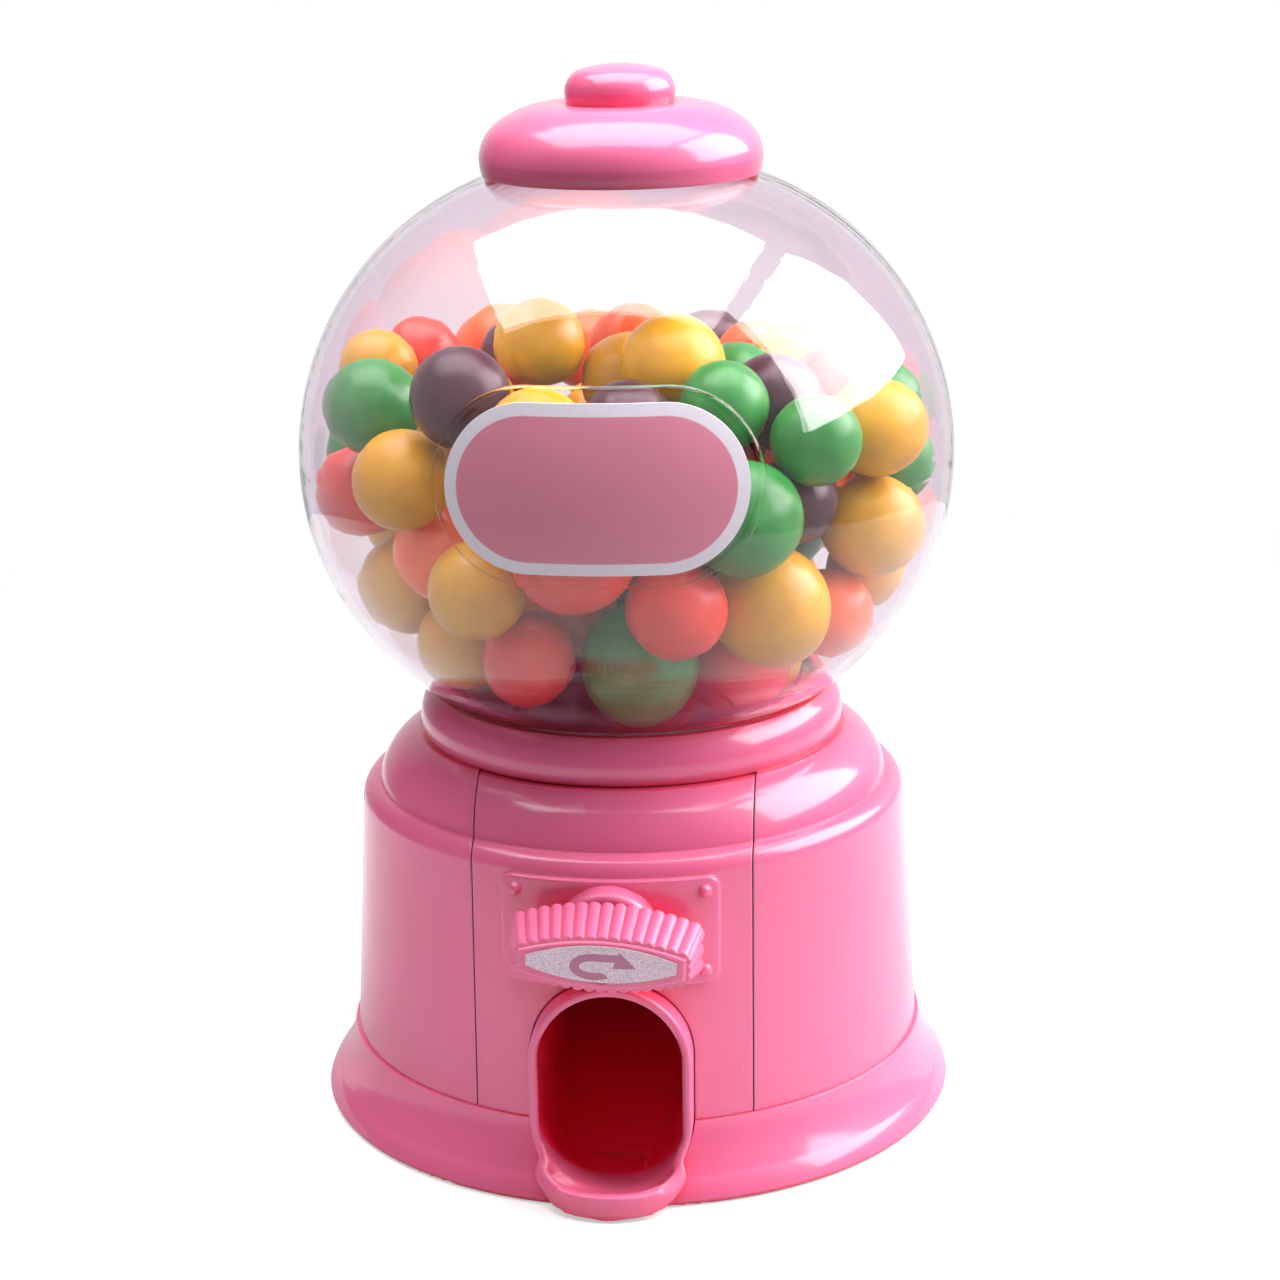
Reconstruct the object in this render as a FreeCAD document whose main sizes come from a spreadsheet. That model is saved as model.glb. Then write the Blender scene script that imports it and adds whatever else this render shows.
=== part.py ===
# Toy gumball machine: a clear globe over a drafted body, with a turned dial, a ball drum and a scoop chute.
# Millimetres. The origin lies on the standing face, on the globe's axis. The front looks along -Y, +Z is up.

import FreeCAD, Part
import Sketcher
import math
import operator
import os

SIZES = {
    # Body with shoulder and collar
    "body_foot_radius": 38.95,
    "body_taper": 1.95,
    "body_height": 32.8,
    "body_round": 2.4,
    "wall": 1.8,
    "shoulder_inset": 8.0,
    "shoulder_height": 6.6,
    "shoulder_curve": 8.2,
    "collar_step": 0.8,
    "collar_slant": 1.3,
    "collar_height": 6.1,
    "collar_curve": 5.1,
    "spigot_depth": 2.8,
    "spigot_wall": 0.9,
    "post_radius": 3.2,
    "post_inset": 0.5,
    "ledge_width": 1.7,
    # Base skirt and bottom cover
    "skirt_flare": 4.45,
    "skirt_edge_round": 0.8,
    "skirt_waist_inset": 1.5,
    "skirt_waist_height": 3.4,
    "skirt_foot_curve": 8.0,
    "skirt_flare_curve": 16.0,
    "skirt_ledge": 0.45,
    "skirt_height": 9.8,
    "cover_inset": 3.2,
    "cover_thickness": 1.8,
    "cover_seat": 1.2,
    "cover_pad_margin": 1.2,
    "cover_pad_height": 2.2,
    # Front panel with dial plate and boss
    "panel_margin": 4.1,
    "panel_top_flange": 2.8,
    "plate_width": 27.8,
    "plate_height": 14.2,
    "plate_corner": 1.7,
    "plate_rise": 0.8,
    "plate_edge_round": 0.45,
    "rivet_radius": 0.88,
    "rivet_rise": 0.66,
    "rivet_inset": 1.9,
    "dial_drop": 7.2,
    "boss_radius": 6.5,
    "boss_depth": 2.6,
    "boss_round": 1.1,
    "sleeve_wall": 1.84,
    "sleeve_depth": 4.0,
    # Globe, label and lid
    "globe_radius": 43.4,
    "globe_lower_offset": 6.1,
    "globe_upper_offset": 4.4,
    "globe_foot_inset": 0.8,
    "globe_wall": 1.4,
    "neck_step": 0.7,
    "neck_depth": 4.4,
    "mouth_radius": 15.0,
    "mouth_lip_height": 4.2,
    "label_rise": 4.7,
    "label_radius": 10.2,
    "label_half_run": 8.2,
    "label_thickness": 0.25,
    "pad_margin": 1.75,
    "pad_rise": 0.8,
    "pad_edge_round": 0.4,
    "lid_rim_drop": 4.4,
    "lid_bulge": 0.35,
    "lid_bulge_drop": 2.2,
    "lid_side_curve": 8.0,
    "lid_edge_inset": 2.85,
    "lid_edge_rise": 2.5,
    "lid_edge_curve": 5.8,
    "lid_dome_rise": 4.5,
    "lid_dome_curve": 12.0,
    "lid_ceiling_rise": 2.2,
    "lid_wall": 1.4,
    "lid_plug_depth": 4.6,
    "button_radius": 7.15,
    "button_foot_inset": 0.15,
    "button_flank": 1.2,
    "button_crown_inset": 1.95,
    "button_crown_rise": 3.1,
    "button_edge_curve": 3.0,
    "button_top_rise": 0.7,
    # Dial
    "dial_rest_turn": 3.0,
    "dial_half_width": 11.8,
    "dial_half_height": 5.2,
    "dial_end_half_height": 3.0,
    "dial_front_half_width": 10.6,
    "dial_front_half_height": 3.3,
    "dial_front_end_half_height": 1.6,
    "dial_grip_depth": 6.55,
    "dial_bezel_depth": 0.45,
    "dial_bezel_inset": 0.2,
    "dial_bezel_round": 0.4,
    "dial_rib_rise": 0.42,
    "dial_ribs_along": 15,
    "dial_ribs_end": 3,
    "sticker_end_inset": 1.1,
    "sticker_side_inset": 0.7,
    "sticker_rise": 0.25,
    "sticker_thickness": 0.2,
    # Gumballs, drum, housing and hopper
    "gumball_diameter": 13.0,
    "pocket_play": 1.7,
    "pocket_floor": 5.0,
    "shaft_radius": 3.3,
    "shaft_flat": 2.4,
    "shaft_grip": 3.4,
    "drum_wall": 2.0,
    "drum_end_wall": 3.0,
    "journal_radius": 3.0,
    "journal_length": 5.0,
    "housing_wall": 1.4,
    "housing_ear_margin": 3.6,
    "housing_ear_thickness": 2.0,
    "housing_ear_rise": 4.0,
    "bearing_wall": 2.2,
    "outlet_play": 0.8,
    "throat_play": 0.2,
    "hopper_wall": 1.5,
    "flange_thickness": 1.6,
    "hopper_post_radius": 2.5,
    "hopper_post_offset": 3.05,
    "hopper_post_pitch": 10.0,
    # Chute with scoop lip
    "spout_radius": 10.45,
    "spout_drop": 16.65,
    "spout_lift": 0.4,
    "spout_wall": 1.1,
    "spout_stand": 1.85,
    "spout_rim_round": 0.55,
    "lip_overhang": 6.6,
    "lip_flare": 1.15,
    "lip_height": 3.7,
    "lip_sweep": 5.3,
    "ramp_setback": 8.8,
    "ramp_front_height": 2.4,
    "ramp_drop": 11.05,
    "ramp_thickness": 1.2,
    "entry_margin": 2.8,
    "chute_ear_thickness": 1.6,
    "chute_ear_margin": 3.0,
    "chute_ear_height": 6.0,
    "chute_screw_offset": 3.75,
    "chute_screw_rise": 5.15,
    "chute_screw_length": 4.2,
    "chute_boss_radius": 2.4,
    "chute_boss_length": 3.9,
    # Screws
    "screw_head_radius": 2.3,
    "screw_head_height": 1.5,
    "screw_radius": 1.1,
    "screw_length": 7.0,
    # Clearances
    "seam_gap": 0.15,
    "fit_gap": 0.1,
    "seat_gap": 0.05,
    "running_fit": 0.06,
    "moving_gap": 0.35,
    "lid_gap": 0.3,
    "notch_gap": 0.15,
}

doc = FreeCAD.newDocument("gumball_machine")
sheet = doc.addObject("Spreadsheet::Sheet", "Sizes")
for row, (alias, number) in enumerate(SIZES.items(), start=1):
    sheet.set(f"A{row}", alias.replace("_", " "))
    sheet.set(f"B{row}", str(number))
    sheet.setAlias(f"B{row}", alias)
doc.recompute()


class Size:
    """A length: its value now, and the expression that ties it to the sheet."""

    SIGNS = {"+": operator.add, "-": operator.sub, "*": operator.mul, "/": operator.truediv}

    def __init__(self, value, text):
        self.value = value
        self.text = text

    def joined(self, sign, other, swapped=False):
        other = as_size(other)
        left, right = (other, self) if swapped else (self, other)
        return Size(self.SIGNS[sign](left.value, right.value), f"({left.text} {sign} {right.text})")

    def __add__(self, other):
        return self.joined("+", other)

    def __radd__(self, other):
        return self.joined("+", other, swapped=True)

    def __sub__(self, other):
        return self.joined("-", other)

    def __rsub__(self, other):
        return self.joined("-", other, swapped=True)

    def __mul__(self, other):
        return self.joined("*", other)

    def __rmul__(self, other):
        return self.joined("*", other, swapped=True)

    def __truediv__(self, other):
        return self.joined("/", other)

    def __neg__(self):
        return self.joined("*", -1)


def as_size(number):
    if isinstance(number, Size):
        return number
    return Size(float(number), f"({float(number)})")


def root(size):
    """The square root of a size."""
    return Size(math.sqrt(size.value), f"sqrt({size.text})")


class Sheet:
    """The sheet's cells by their aliases, each as a Size."""

    def __getattr__(self, alias):
        return Size(float(sheet.get(alias)), f"Sizes.{alias}")


S = Sheet()


def bind(item, prop, size):
    item.setExpression(prop, as_size(size).text)


# Drawing helpers

def arc_between(start, end, radius, turn):
    """The arc from start to end: turn is 1 for anticlockwise and -1 for clockwise."""
    half_x = (end[0] - start[0]) / 2
    half_y = (end[1] - start[1]) / 2
    half_chord = math.hypot(half_x, half_y)
    reach = math.sqrt(radius * radius - half_chord * half_chord) / half_chord * turn
    centre = FreeCAD.Vector(start[0] + half_x - half_y * reach, start[1] + half_y + half_x * reach, 0)
    first, last = (start, end) if turn > 0 else (end, start)
    first_angle = math.atan2(first[1] - centre.y, first[0] - centre.x)
    last_angle = math.atan2(last[1] - centre.y, last[0] - centre.x)
    return Part.ArcOfCircle(Part.Circle(centre, FreeCAD.Vector(0, 0, 1), radius), first_angle, last_angle)


def sketch(body, name, plane, corners):
    """A closed outline in one of the body's own planes, tied to the sheet.

    A corner is (x, y), or (x, y, radius, turn) where an arc arrives at it. A plain 0 puts it on an axis.
    """
    drawing = body.newObject("Sketcher::SketchObject", name)
    support = next(item for item in body.Origin.OriginFeatures if item.Role == plane)
    drawing.AttachmentSupport = (support, "")
    drawing.MapMode = "FlatFace"
    places = [(as_size(corner[0]).value, as_size(corner[1]).value) for corner in corners]
    lines = []
    points = []
    for index, corner in enumerate(corners):
        start, end = places[index - 1], places[index]
        if len(corner) > 2:
            lines.append(arc_between(start, end, as_size(corner[2]).value, corner[3]))
            points.append((1, 2) if corner[3] > 0 else (2, 1))
        else:
            ends = [FreeCAD.Vector(place[0], place[1], 0) for place in (start, end)]
            lines.append(Part.LineSegment(*ends))
            points.append((1, 2))
    drawing.addGeometry(lines, False)
    rules = []
    ties = []
    origin, across, upright = -1, -1, -2
    for index, corner in enumerate(corners):
        arrival = points[index][1]
        following = (index + 1) % len(corners)
        rules.append(Sketcher.Constraint("Coincident", index, arrival, following, points[following][0]))
        for kind, axis, value in (("DistanceX", upright, corner[0]), ("DistanceY", across, corner[1])):
            if not isinstance(value, Size) and value == 0:
                rules.append(Sketcher.Constraint("PointOnObject", index, arrival, axis))
                continue
            ties.append((len(rules), value))
            rules.append(Sketcher.Constraint(kind, origin, 1, index, arrival, as_size(value).value))
        if len(corner) > 2:
            ties.append((len(rules), corner[2]))
            rules.append(Sketcher.Constraint("Radius", index, as_size(corner[2]).value))
    drawing.addConstraint(rules)
    for number, value in ties:
        bind(drawing, f"Constraints[{number}]", value)
    return drawing


def revolved(name, plane, corners):
    """A body turned about its outline's upright axis."""
    body = doc.addObject("PartDesign::Body", name)
    outline = sketch(body, f"{name}_outline", plane, corners)
    turned = body.newObject("PartDesign::Revolution", f"{name}_turned")
    turned.Profile = outline
    turned.ReferenceAxis = (outline, ["V_Axis"])
    turned.Angle = 360
    return body


def prism(name, plane, corners, start, length):
    """A padded outline that starts at a distance from its plane, along the plane's normal."""
    body = doc.addObject("PartDesign::Body", name)
    outline = sketch(body, f"{name}_outline", plane, corners)
    bind(outline, ".AttachmentOffset.Base.z", start)
    pad = body.newObject("PartDesign::Pad", f"{name}_pad")
    pad.Profile = outline
    bind(pad, "Length", length)
    return body


def place(item, spot):
    for letter, size in zip("xyz", spot):
        bind(item, f"Placement.Base.{letter}", size)
    return item


ALONG = {
    "z": FreeCAD.Rotation(),
    "y": FreeCAD.Rotation(FreeCAD.Vector(1, 0, 0), -90),
}


def cylinder(name, radius, length, spot, axis="z"):
    """A cylinder that starts at a spot and runs up or to the rear."""
    item = doc.addObject("Part::Cylinder", name)
    bind(item, "Radius", radius)
    bind(item, "Height", length)
    item.Placement = FreeCAD.Placement(FreeCAD.Vector(), ALONG[axis])
    return place(item, spot)


def block(name, low, high):
    item = doc.addObject("Part::Box", name)
    for side, first, last in zip(("Length", "Width", "Height"), low, high):
        bind(item, side, as_size(last) - first)
    return place(item, low)


def fused(name, pieces):
    item = doc.addObject("Part::MultiFuse", name)
    item.Shapes = pieces
    return item


def cut(name, base, tools):
    item = doc.addObject("Part::Cut", name)
    item.Base = base
    item.Tool = tools[0] if len(tools) == 1 else fused(f"{name}_tools", tools)
    return item


def common(name, first, second):
    item = doc.addObject("Part::Common", name)
    item.Base = first
    item.Tool = second
    return item


def rounded(name, base, radius, chosen):
    """A copy of a solid with the edges that the choice accepts rounded."""
    doc.recompute()
    item = doc.addObject("Part::Fillet", name)
    item.Base = base
    size = as_size(radius).value
    numbered = enumerate(base.Shape.Edges, start=1)
    item.Edges = [(number, size, size) for number, edge in numbered if chosen(edge)]
    return item


def upright_slot(radius, low, high):
    """The outline of an upright slot between two round ends."""
    return [
        (radius, low, radius, 1),
        (radius, high),
        (0, high + radius, radius, 1),
        (-radius, high, radius, 1),
        (-radius, low),
        (0, low - radius, radius, 1),
    ]


def level_slot(radius, half_run, height):
    """The outline of a level slot between two round ends."""
    return [
        (-half_run, height - radius, radius, 1),
        (half_run, height - radius),
        (half_run + radius, height, radius, 1),
        (half_run, height + radius, radius, 1),
        (-half_run, height + radius),
        (-half_run - radius, height, radius, 1),
    ]


def lens(half_width, half_height, end_half_height, middle=0):
    """The outline of a lens with cut ends, two arcs and two short straight sides, at a middle height."""
    bow = half_height - end_half_height
    radius = (half_width * half_width + bow * bow) / (bow * 2)
    return [
        (half_width, middle - end_half_height, radius, 1),
        (half_width, middle + end_half_height),
        (-half_width, middle + end_half_height, radius, 1),
        (-half_width, middle - end_half_height),
    ]


# Radii and heights that the pieces share

skirt_radius = S.body_foot_radius + S.skirt_flare
cover_radius = skirt_radius - S.cover_inset
body_top_radius = S.body_foot_radius - S.body_taper
shoulder_top_radius = body_top_radius - S.shoulder_inset
collar_foot_radius = shoulder_top_radius - S.collar_step
collar_top_radius = collar_foot_radius - S.collar_slant
globe_foot_radius = collar_top_radius - S.globe_foot_inset
neck_radius = globe_foot_radius - S.neck_step

round_z = S.skirt_height + S.body_height
shoulder_z = round_z + S.body_round
collar_z = shoulder_z + S.shoulder_height
seat_z = collar_z + S.collar_height
ledge_z = seat_z - S.neck_depth - S.flange_thickness
flange_z = ledge_z + S.flange_thickness
dial_z = round_z - S.dial_drop

globe_lower_curve = S.globe_radius - S.globe_lower_offset
globe_upper_curve = S.globe_radius - S.globe_upper_offset
foot_run = globe_foot_radius - S.globe_lower_offset
equator_z = seat_z + root(globe_lower_curve * globe_lower_curve - foot_run * foot_run)
lip_radius = S.mouth_radius + S.globe_wall


def globe_height(radius, inset):
    """The height of the globe's upper surface, or one that lies inside it, at a radius."""
    curve = globe_upper_curve - inset
    run = radius - S.globe_upper_offset
    return equator_z + root(curve * curve - run * run)


lip_foot_z = globe_height(lip_radius, 0)
lip_top_z = lip_foot_z + S.mouth_lip_height

# The drum's radii, which follow from the gumball

pocket_radius = S.gumball_diameter / 2 + S.pocket_play
drum_radius = pocket_radius + S.drum_wall
throat_radius = pocket_radius + S.throat_play
outlet_radius = pocket_radius + S.outlet_play
drum_half_length = pocket_radius + S.drum_end_wall
housing_bore = drum_radius + S.moving_gap
housing_radius = housing_bore + S.housing_wall
pilot_radius = S.screw_radius + S.seat_gap

# Lengths along the dial's axis, to the front

draft = S.body_taper / S.body_height


def body_radius(height):
    """The drafted wall's outer radius at a height."""
    return body_top_radius + (round_z - height) * draft


boss_front = body_radius(dial_z) + S.plate_rise + S.boss_depth
dial_back = boss_front + S.moving_gap
dial_rim = dial_back + S.dial_grip_depth
dial_face = dial_rim + S.dial_bezel_depth
shaft_end = dial_back + S.shaft_grip


def set_on_dial_axis(item, turn=0):
    """Set an item that is drawn about the Y axis on the dial's axis, turned by an angle."""
    item.Placement = FreeCAD.Placement(FreeCAD.Vector(), FreeCAD.Rotation(FreeCAD.Vector(0, 1, 0), 0))
    bind(item, "Placement.Base.z", dial_z)
    bind(item, "Placement.Rotation.Angle", turn)
    return item


# The four quarters round an axis, as signs of x and y, and the four posts inside the body

QUARTERS = [(1, 1), (-1, 1), (-1, -1), (1, -1)]
post_circle = body_top_radius - S.post_radius - S.post_inset
post_side = post_circle * math.sqrt(0.5)
post_foot_z = S.cover_thickness + S.cover_pad_height + S.fit_gap

# The spout's two centres, its mouth, its screws, and the notch that the base leaves for it

spout_low = S.spout_lift + S.spout_radius
spout_high = dial_z - S.spout_drop
spout_mouth = S.body_foot_radius + S.spout_stand
lip_reach = spout_mouth + S.lip_overhang
sweep_z = S.lip_height + S.lip_sweep
sweep_curve = (S.lip_overhang * S.lip_overhang + S.lip_sweep * S.lip_sweep) / (S.lip_overhang * 2)
lip_curve = S.spout_radius + S.lip_flare
lip_centre = lip_curve - lip_reach
chute_screw_side = S.spout_radius + S.chute_screw_offset
chute_screw_z = spout_low + S.chute_screw_rise
chute_boss_wall = body_radius(chute_screw_z) - S.wall / 2
chute_boss_start = root(chute_boss_wall * chute_boss_wall - chute_screw_side * chute_screw_side)
chute_ear_place = chute_boss_start - S.chute_boss_length


def spout_notch(name):
    """The slot that lets the spout through the front of the base and the panel."""
    outline = upright_slot(S.spout_radius + S.notch_gap, spout_low, spout_high)
    return prism(name, "XZ_Plane", outline, chute_ear_place - S.chute_ear_thickness, skirt_radius)


# Base

def base_skirt():
    inner = S.body_foot_radius - S.wall + S.spigot_wall + S.fit_gap
    recess = cover_radius + S.fit_gap
    recess_z = S.cover_thickness + S.fit_gap
    ring = revolved("skirt_ring", "XZ_Plane", [
        (recess, 0),
        (skirt_radius - S.skirt_edge_round, 0),
        (skirt_radius, S.skirt_edge_round, S.skirt_edge_round, 1),
        (skirt_radius - S.skirt_waist_inset, S.skirt_waist_height, S.skirt_foot_curve, 1),
        (S.body_foot_radius + S.skirt_ledge, S.skirt_height, S.skirt_flare_curve, -1),
        (inner, S.skirt_height),
        (inner, recess_z + S.cover_seat),
        (recess - S.cover_seat, recess_z),
        (recess, recess_z),
    ])
    return cut("base_skirt", ring, [spout_notch("skirt_notch")])


def bottom_cover():
    disc = cylinder("cover_disc", cover_radius, S.cover_thickness, (0, 0, 0))
    pads = []
    holes = []
    for number, (side, depth) in enumerate(QUARTERS):
        spot = (post_side * side, post_side * depth, 0)
        pad_top = S.cover_thickness + S.cover_pad_height
        pads.append(cylinder(f"cover_pad_{number}", S.post_radius + S.cover_pad_margin, pad_top, spot))
        sink = S.screw_head_radius + S.notch_gap
        holes.append(cylinder(f"cover_sink_{number}", sink, S.cover_pad_height, spot))
        bore = S.screw_radius + S.notch_gap
        holes.append(cylinder(f"cover_hole_{number}", bore, S.cover_thickness * 2 + S.cover_pad_height, spot))
    half = S.spout_radius + S.notch_gap
    clear_y = ramp_place(S.cover_thickness + S.ramp_thickness + S.notch_gap * 2)
    notch = block("cover_notch", (-half, -skirt_radius, -S.wall), (half, clear_y, S.skirt_height))
    return cut("bottom_cover", fused("cover_form", [disc] + pads), holes + [notch])


def screw(name, spot, axis, toward, length):
    """A screw whose head starts at a spot; toward is 1 along the axis and -1 against it."""
    letter = "xyz".index(axis)
    head_start = list(spot)
    shank_start = list(spot)
    if toward > 0:
        shank_start[letter] = as_size(spot[letter]) + S.screw_head_height
    else:
        head_start[letter] = as_size(spot[letter]) - S.screw_head_height
        shank_start[letter] = as_size(spot[letter]) - S.screw_head_height - length
    head = cylinder(f"{name}_head", S.screw_head_radius, S.screw_head_height, head_start, axis)
    shank = cylinder(f"{name}_shank", S.screw_radius, length, shank_start, axis)
    return fused(name, [head, shank])


def screw_set(name, spots, axis, toward, length):
    group = doc.addObject("Part::Compound", name)
    group.Links = [screw(f"{name}_{number}", spot, axis, toward, length) for number, spot in enumerate(spots)]
    return group


def cover_screws():
    head_z = S.cover_pad_height - S.screw_head_height
    spots = [(post_side * side, post_side * depth, head_z) for side, depth in QUARTERS]
    return screw_set("cover_screws", spots, "z", 1, S.screw_length)


# Body shell and front panel, cut from the same turned form

def housing_form(name):
    foot_in = S.body_foot_radius - S.wall
    foot_z = S.skirt_height - S.spigot_depth
    spigot = foot_in + S.spigot_wall
    crease = body_top_radius - S.body_round
    bore = neck_radius + S.fit_gap
    web_z = ledge_z - S.wall
    return revolved(name, "XZ_Plane", [
        (foot_in, foot_z),
        (spigot, foot_z),
        (spigot, S.skirt_height),
        (S.body_foot_radius, S.skirt_height),
        (body_top_radius, round_z),
        (crease, shoulder_z, S.body_round, 1),
        (shoulder_top_radius, collar_z, S.shoulder_curve, 1),
        (collar_foot_radius, collar_z),
        (collar_top_radius, seat_z, S.collar_curve, 1),
        (bore, seat_z),
        (bore, ledge_z),
        (bore - S.ledge_width, ledge_z),
        (bore - S.ledge_width, web_z),
        (shoulder_top_radius - S.wall / 2, web_z),
        (crease - S.wall, shoulder_z, S.shoulder_curve - S.wall, -1),
        (body_top_radius - S.wall, round_z),
    ])


def panel_window(name, gap):
    """The front window from the seam up to the collar, less a gap all round."""
    half = S.plate_width / 2 + S.panel_margin - gap
    inner = shoulder_top_radius - S.panel_top_flange + gap
    window = block(f"{name}_block", (-half, -skirt_radius, 0), (half, -gap, collar_z - gap))
    core = cylinder(f"{name}_core", inner, collar_z, (0, 0, 0))
    return cut(name, window, [core])


def body_shell():
    shell = cut("shell_windowed", housing_form("shell_form"), [panel_window("shell_window", 0)])
    posts = []
    pilots = []
    for number, (side, depth) in enumerate(QUARTERS):
        spot = (post_side * side, post_side * depth, post_foot_z)
        posts.append(cylinder(f"post_{number}", S.post_radius, round_z - post_foot_z - S.fit_gap, spot))
        pilots.append(cylinder(f"post_pilot_{number}", pilot_radius, S.screw_length, spot))
    return cut("body_shell", fused("shell_with_posts", [shell] + posts), pilots)


def dial_plate():
    """The raised plate behind the dial: a band round the drafted wall, kept within a rounded rectangle."""
    half_width = S.plate_width / 2
    half_height = S.plate_height / 2
    low = dial_z - half_height
    high = dial_z + half_height
    sink = S.wall / 2
    band_low = low - S.plate_corner
    band_high = high + S.plate_corner
    band = revolved("plate_band", "XZ_Plane", [
        (body_radius(band_low) - sink, band_low),
        (body_radius(band_low) + S.plate_rise, band_low),
        (body_radius(band_high) + S.plate_rise, band_high),
        (body_radius(band_high) - sink, band_high),
    ])
    corner = S.plate_corner
    outline = [
        (half_width - corner, low),
        (half_width, low + corner, corner, 1),
        (half_width, high - corner),
        (half_width - corner, high, corner, 1),
        (corner - half_width, high),
        (-half_width, high - corner, corner, 1),
        (-half_width, low + corner),
        (corner - half_width, low, corner, 1),
    ]
    frame = prism("plate_frame", "XZ_Plane", outline, S.wall, skirt_radius)
    plate = common("plate_form", band, frame)
    outer = (body_radius(dial_z) + S.plate_rise).value
    tolerance = (S.plate_rise / 2).value

    def on_outer_face(edge):
        middle = edge.valueAt((edge.FirstParameter + edge.LastParameter) / 2)
        reach = outer + (dial_z.value - middle.z) * draft.value
        spots = [middle] + [end.Point for end in edge.Vertexes]
        return all(abs(math.hypot(spot.x, spot.y) - reach) < tolerance for spot in spots)

    return rounded("dial_plate", plate, S.plate_edge_round, on_outer_face)


def rivets():
    """The four moulded rivet heads of the dial plate."""
    side = S.plate_width / 2 - S.rivet_inset
    rise = S.plate_height / 2 - S.rivet_inset
    heads = []
    for number, (across, up) in enumerate(QUARTERS):
        height = dial_z + rise * up
        reach = body_radius(height) + S.plate_rise
        head = doc.addObject("Part::Sphere", f"rivet_{number}")
        bind(head, "Radius", S.rivet_radius)
        front = root(reach * reach - side * side) + S.rivet_rise - S.rivet_radius
        heads.append(place(head, (side * across, -front, height)))
    return heads


def dial_boss():
    """The boss that the shaft comes out of, with a rounded front edge."""
    back = S.wall / 2 - body_radius(dial_z)
    boss = revolved("dial_boss", "XY_Plane", [
        (0, -boss_front),
        (S.boss_radius - S.boss_round, -boss_front),
        (S.boss_radius, S.boss_round - boss_front, S.boss_round, 1),
        (S.boss_radius, back),
        (0, back),
    ])
    return set_on_dial_axis(boss)


def chute_screw_spots(depth):
    return [(chute_screw_side * side, depth, chute_screw_z) for side in (1, -1)]


def front_panel():
    skin = common("panel_skin", housing_form("panel_form"), panel_window("panel_window", S.seam_gap))
    wall_front = body_radius(dial_z)
    bore_radius = S.shaft_radius + S.running_fit
    sleeve_radius = bore_radius + S.sleeve_wall
    sleeve_length = S.wall + S.sleeve_depth
    sleeve = cylinder("dial_sleeve", sleeve_radius, sleeve_length, (0, -wall_front, dial_z), "y")
    pilot_depth = S.chute_screw_length - S.chute_ear_thickness + S.fit_gap
    bosses = []
    pilots = []
    for number, spot in enumerate(chute_screw_spots(-chute_boss_start)):
        bosses.append(cylinder(f"chute_boss_{number}", S.chute_boss_radius, S.chute_boss_length, spot, "y"))
    for number, spot in enumerate(chute_screw_spots(-chute_ear_place - pilot_depth)):
        pilots.append(cylinder(f"chute_pilot_{number}", pilot_radius, pilot_depth, spot, "y"))
    form = fused("panel_solid", [skin, dial_plate(), dial_boss(), sleeve] + rivets() + bosses)
    bore = cylinder("dial_bore", bore_radius, boss_front, (0, -boss_front - S.wall, dial_z), "y")
    return cut("front_panel", form, [bore, spout_notch("panel_notch")] + pilots)


# Globe, label and lid

def globe_band(name, inner, outer, low, high):
    """A ring between two surfaces that lie outside the globe's own by the given distances."""

    def corner(height, away, curve, centre):
        run = height - equator_z
        reach = curve + away
        return centre + root(reach * reach - run * run)

    lower = (globe_lower_curve, S.globe_lower_offset)
    upper = (globe_upper_curve, S.globe_upper_offset)
    return revolved(name, "XZ_Plane", [
        (corner(low, inner, *lower), low, globe_lower_curve + inner, -1),
        (corner(low, outer, *lower), low),
        (S.globe_radius + outer, equator_z, globe_lower_curve + outer, 1),
        (corner(high, outer, *upper), high, globe_upper_curve + outer, 1),
        (corner(high, inner, *upper), high),
        (S.globe_radius + inner, equator_z, globe_upper_curve + inner, -1),
    ])


label_z = equator_z + S.label_rise
pad_radius = S.label_radius + S.pad_margin


def label_pad():
    """The oval pad that stands out of the globe's front, with a softened edge."""
    reach = pad_radius + S.pad_margin
    sink = -S.globe_wall / 2
    band = globe_band("pad_band", sink, S.pad_rise, label_z - reach, label_z + reach)
    frame = prism("pad_frame", "XZ_Plane", level_slot(pad_radius, S.label_half_run, label_z),
                  S.wall, S.globe_radius * 2)
    pad = common("pad_form", band, frame)
    middle_surface = (S.pad_rise / 2).value

    def on_outer_face(edge):
        ends = [edge.valueAt(at) for at in (edge.FirstParameter, edge.LastParameter)]
        ends.append(edge.valueAt((edge.FirstParameter + edge.LastParameter) / 2))
        return all(globe_distance(spot) > middle_surface for spot in ends) and not on_equator(ends)

    return rounded("label_pad", pad, S.pad_edge_round, on_outer_face)


def on_equator(spots):
    return all(abs(spot.z - equator_z.value) < S.seat_gap.value for spot in spots)


def globe_distance(spot):
    """How far a spot lies outside the globe's outer surface, or inside it where that is negative."""
    rise = spot.z - equator_z.value
    if rise > 0:
        curve, centre = globe_upper_curve, S.globe_upper_offset
    else:
        curve, centre = globe_lower_curve, S.globe_lower_offset
    return math.hypot(math.hypot(spot.x, spot.y) - centre.value, rise) - curve.value


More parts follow.
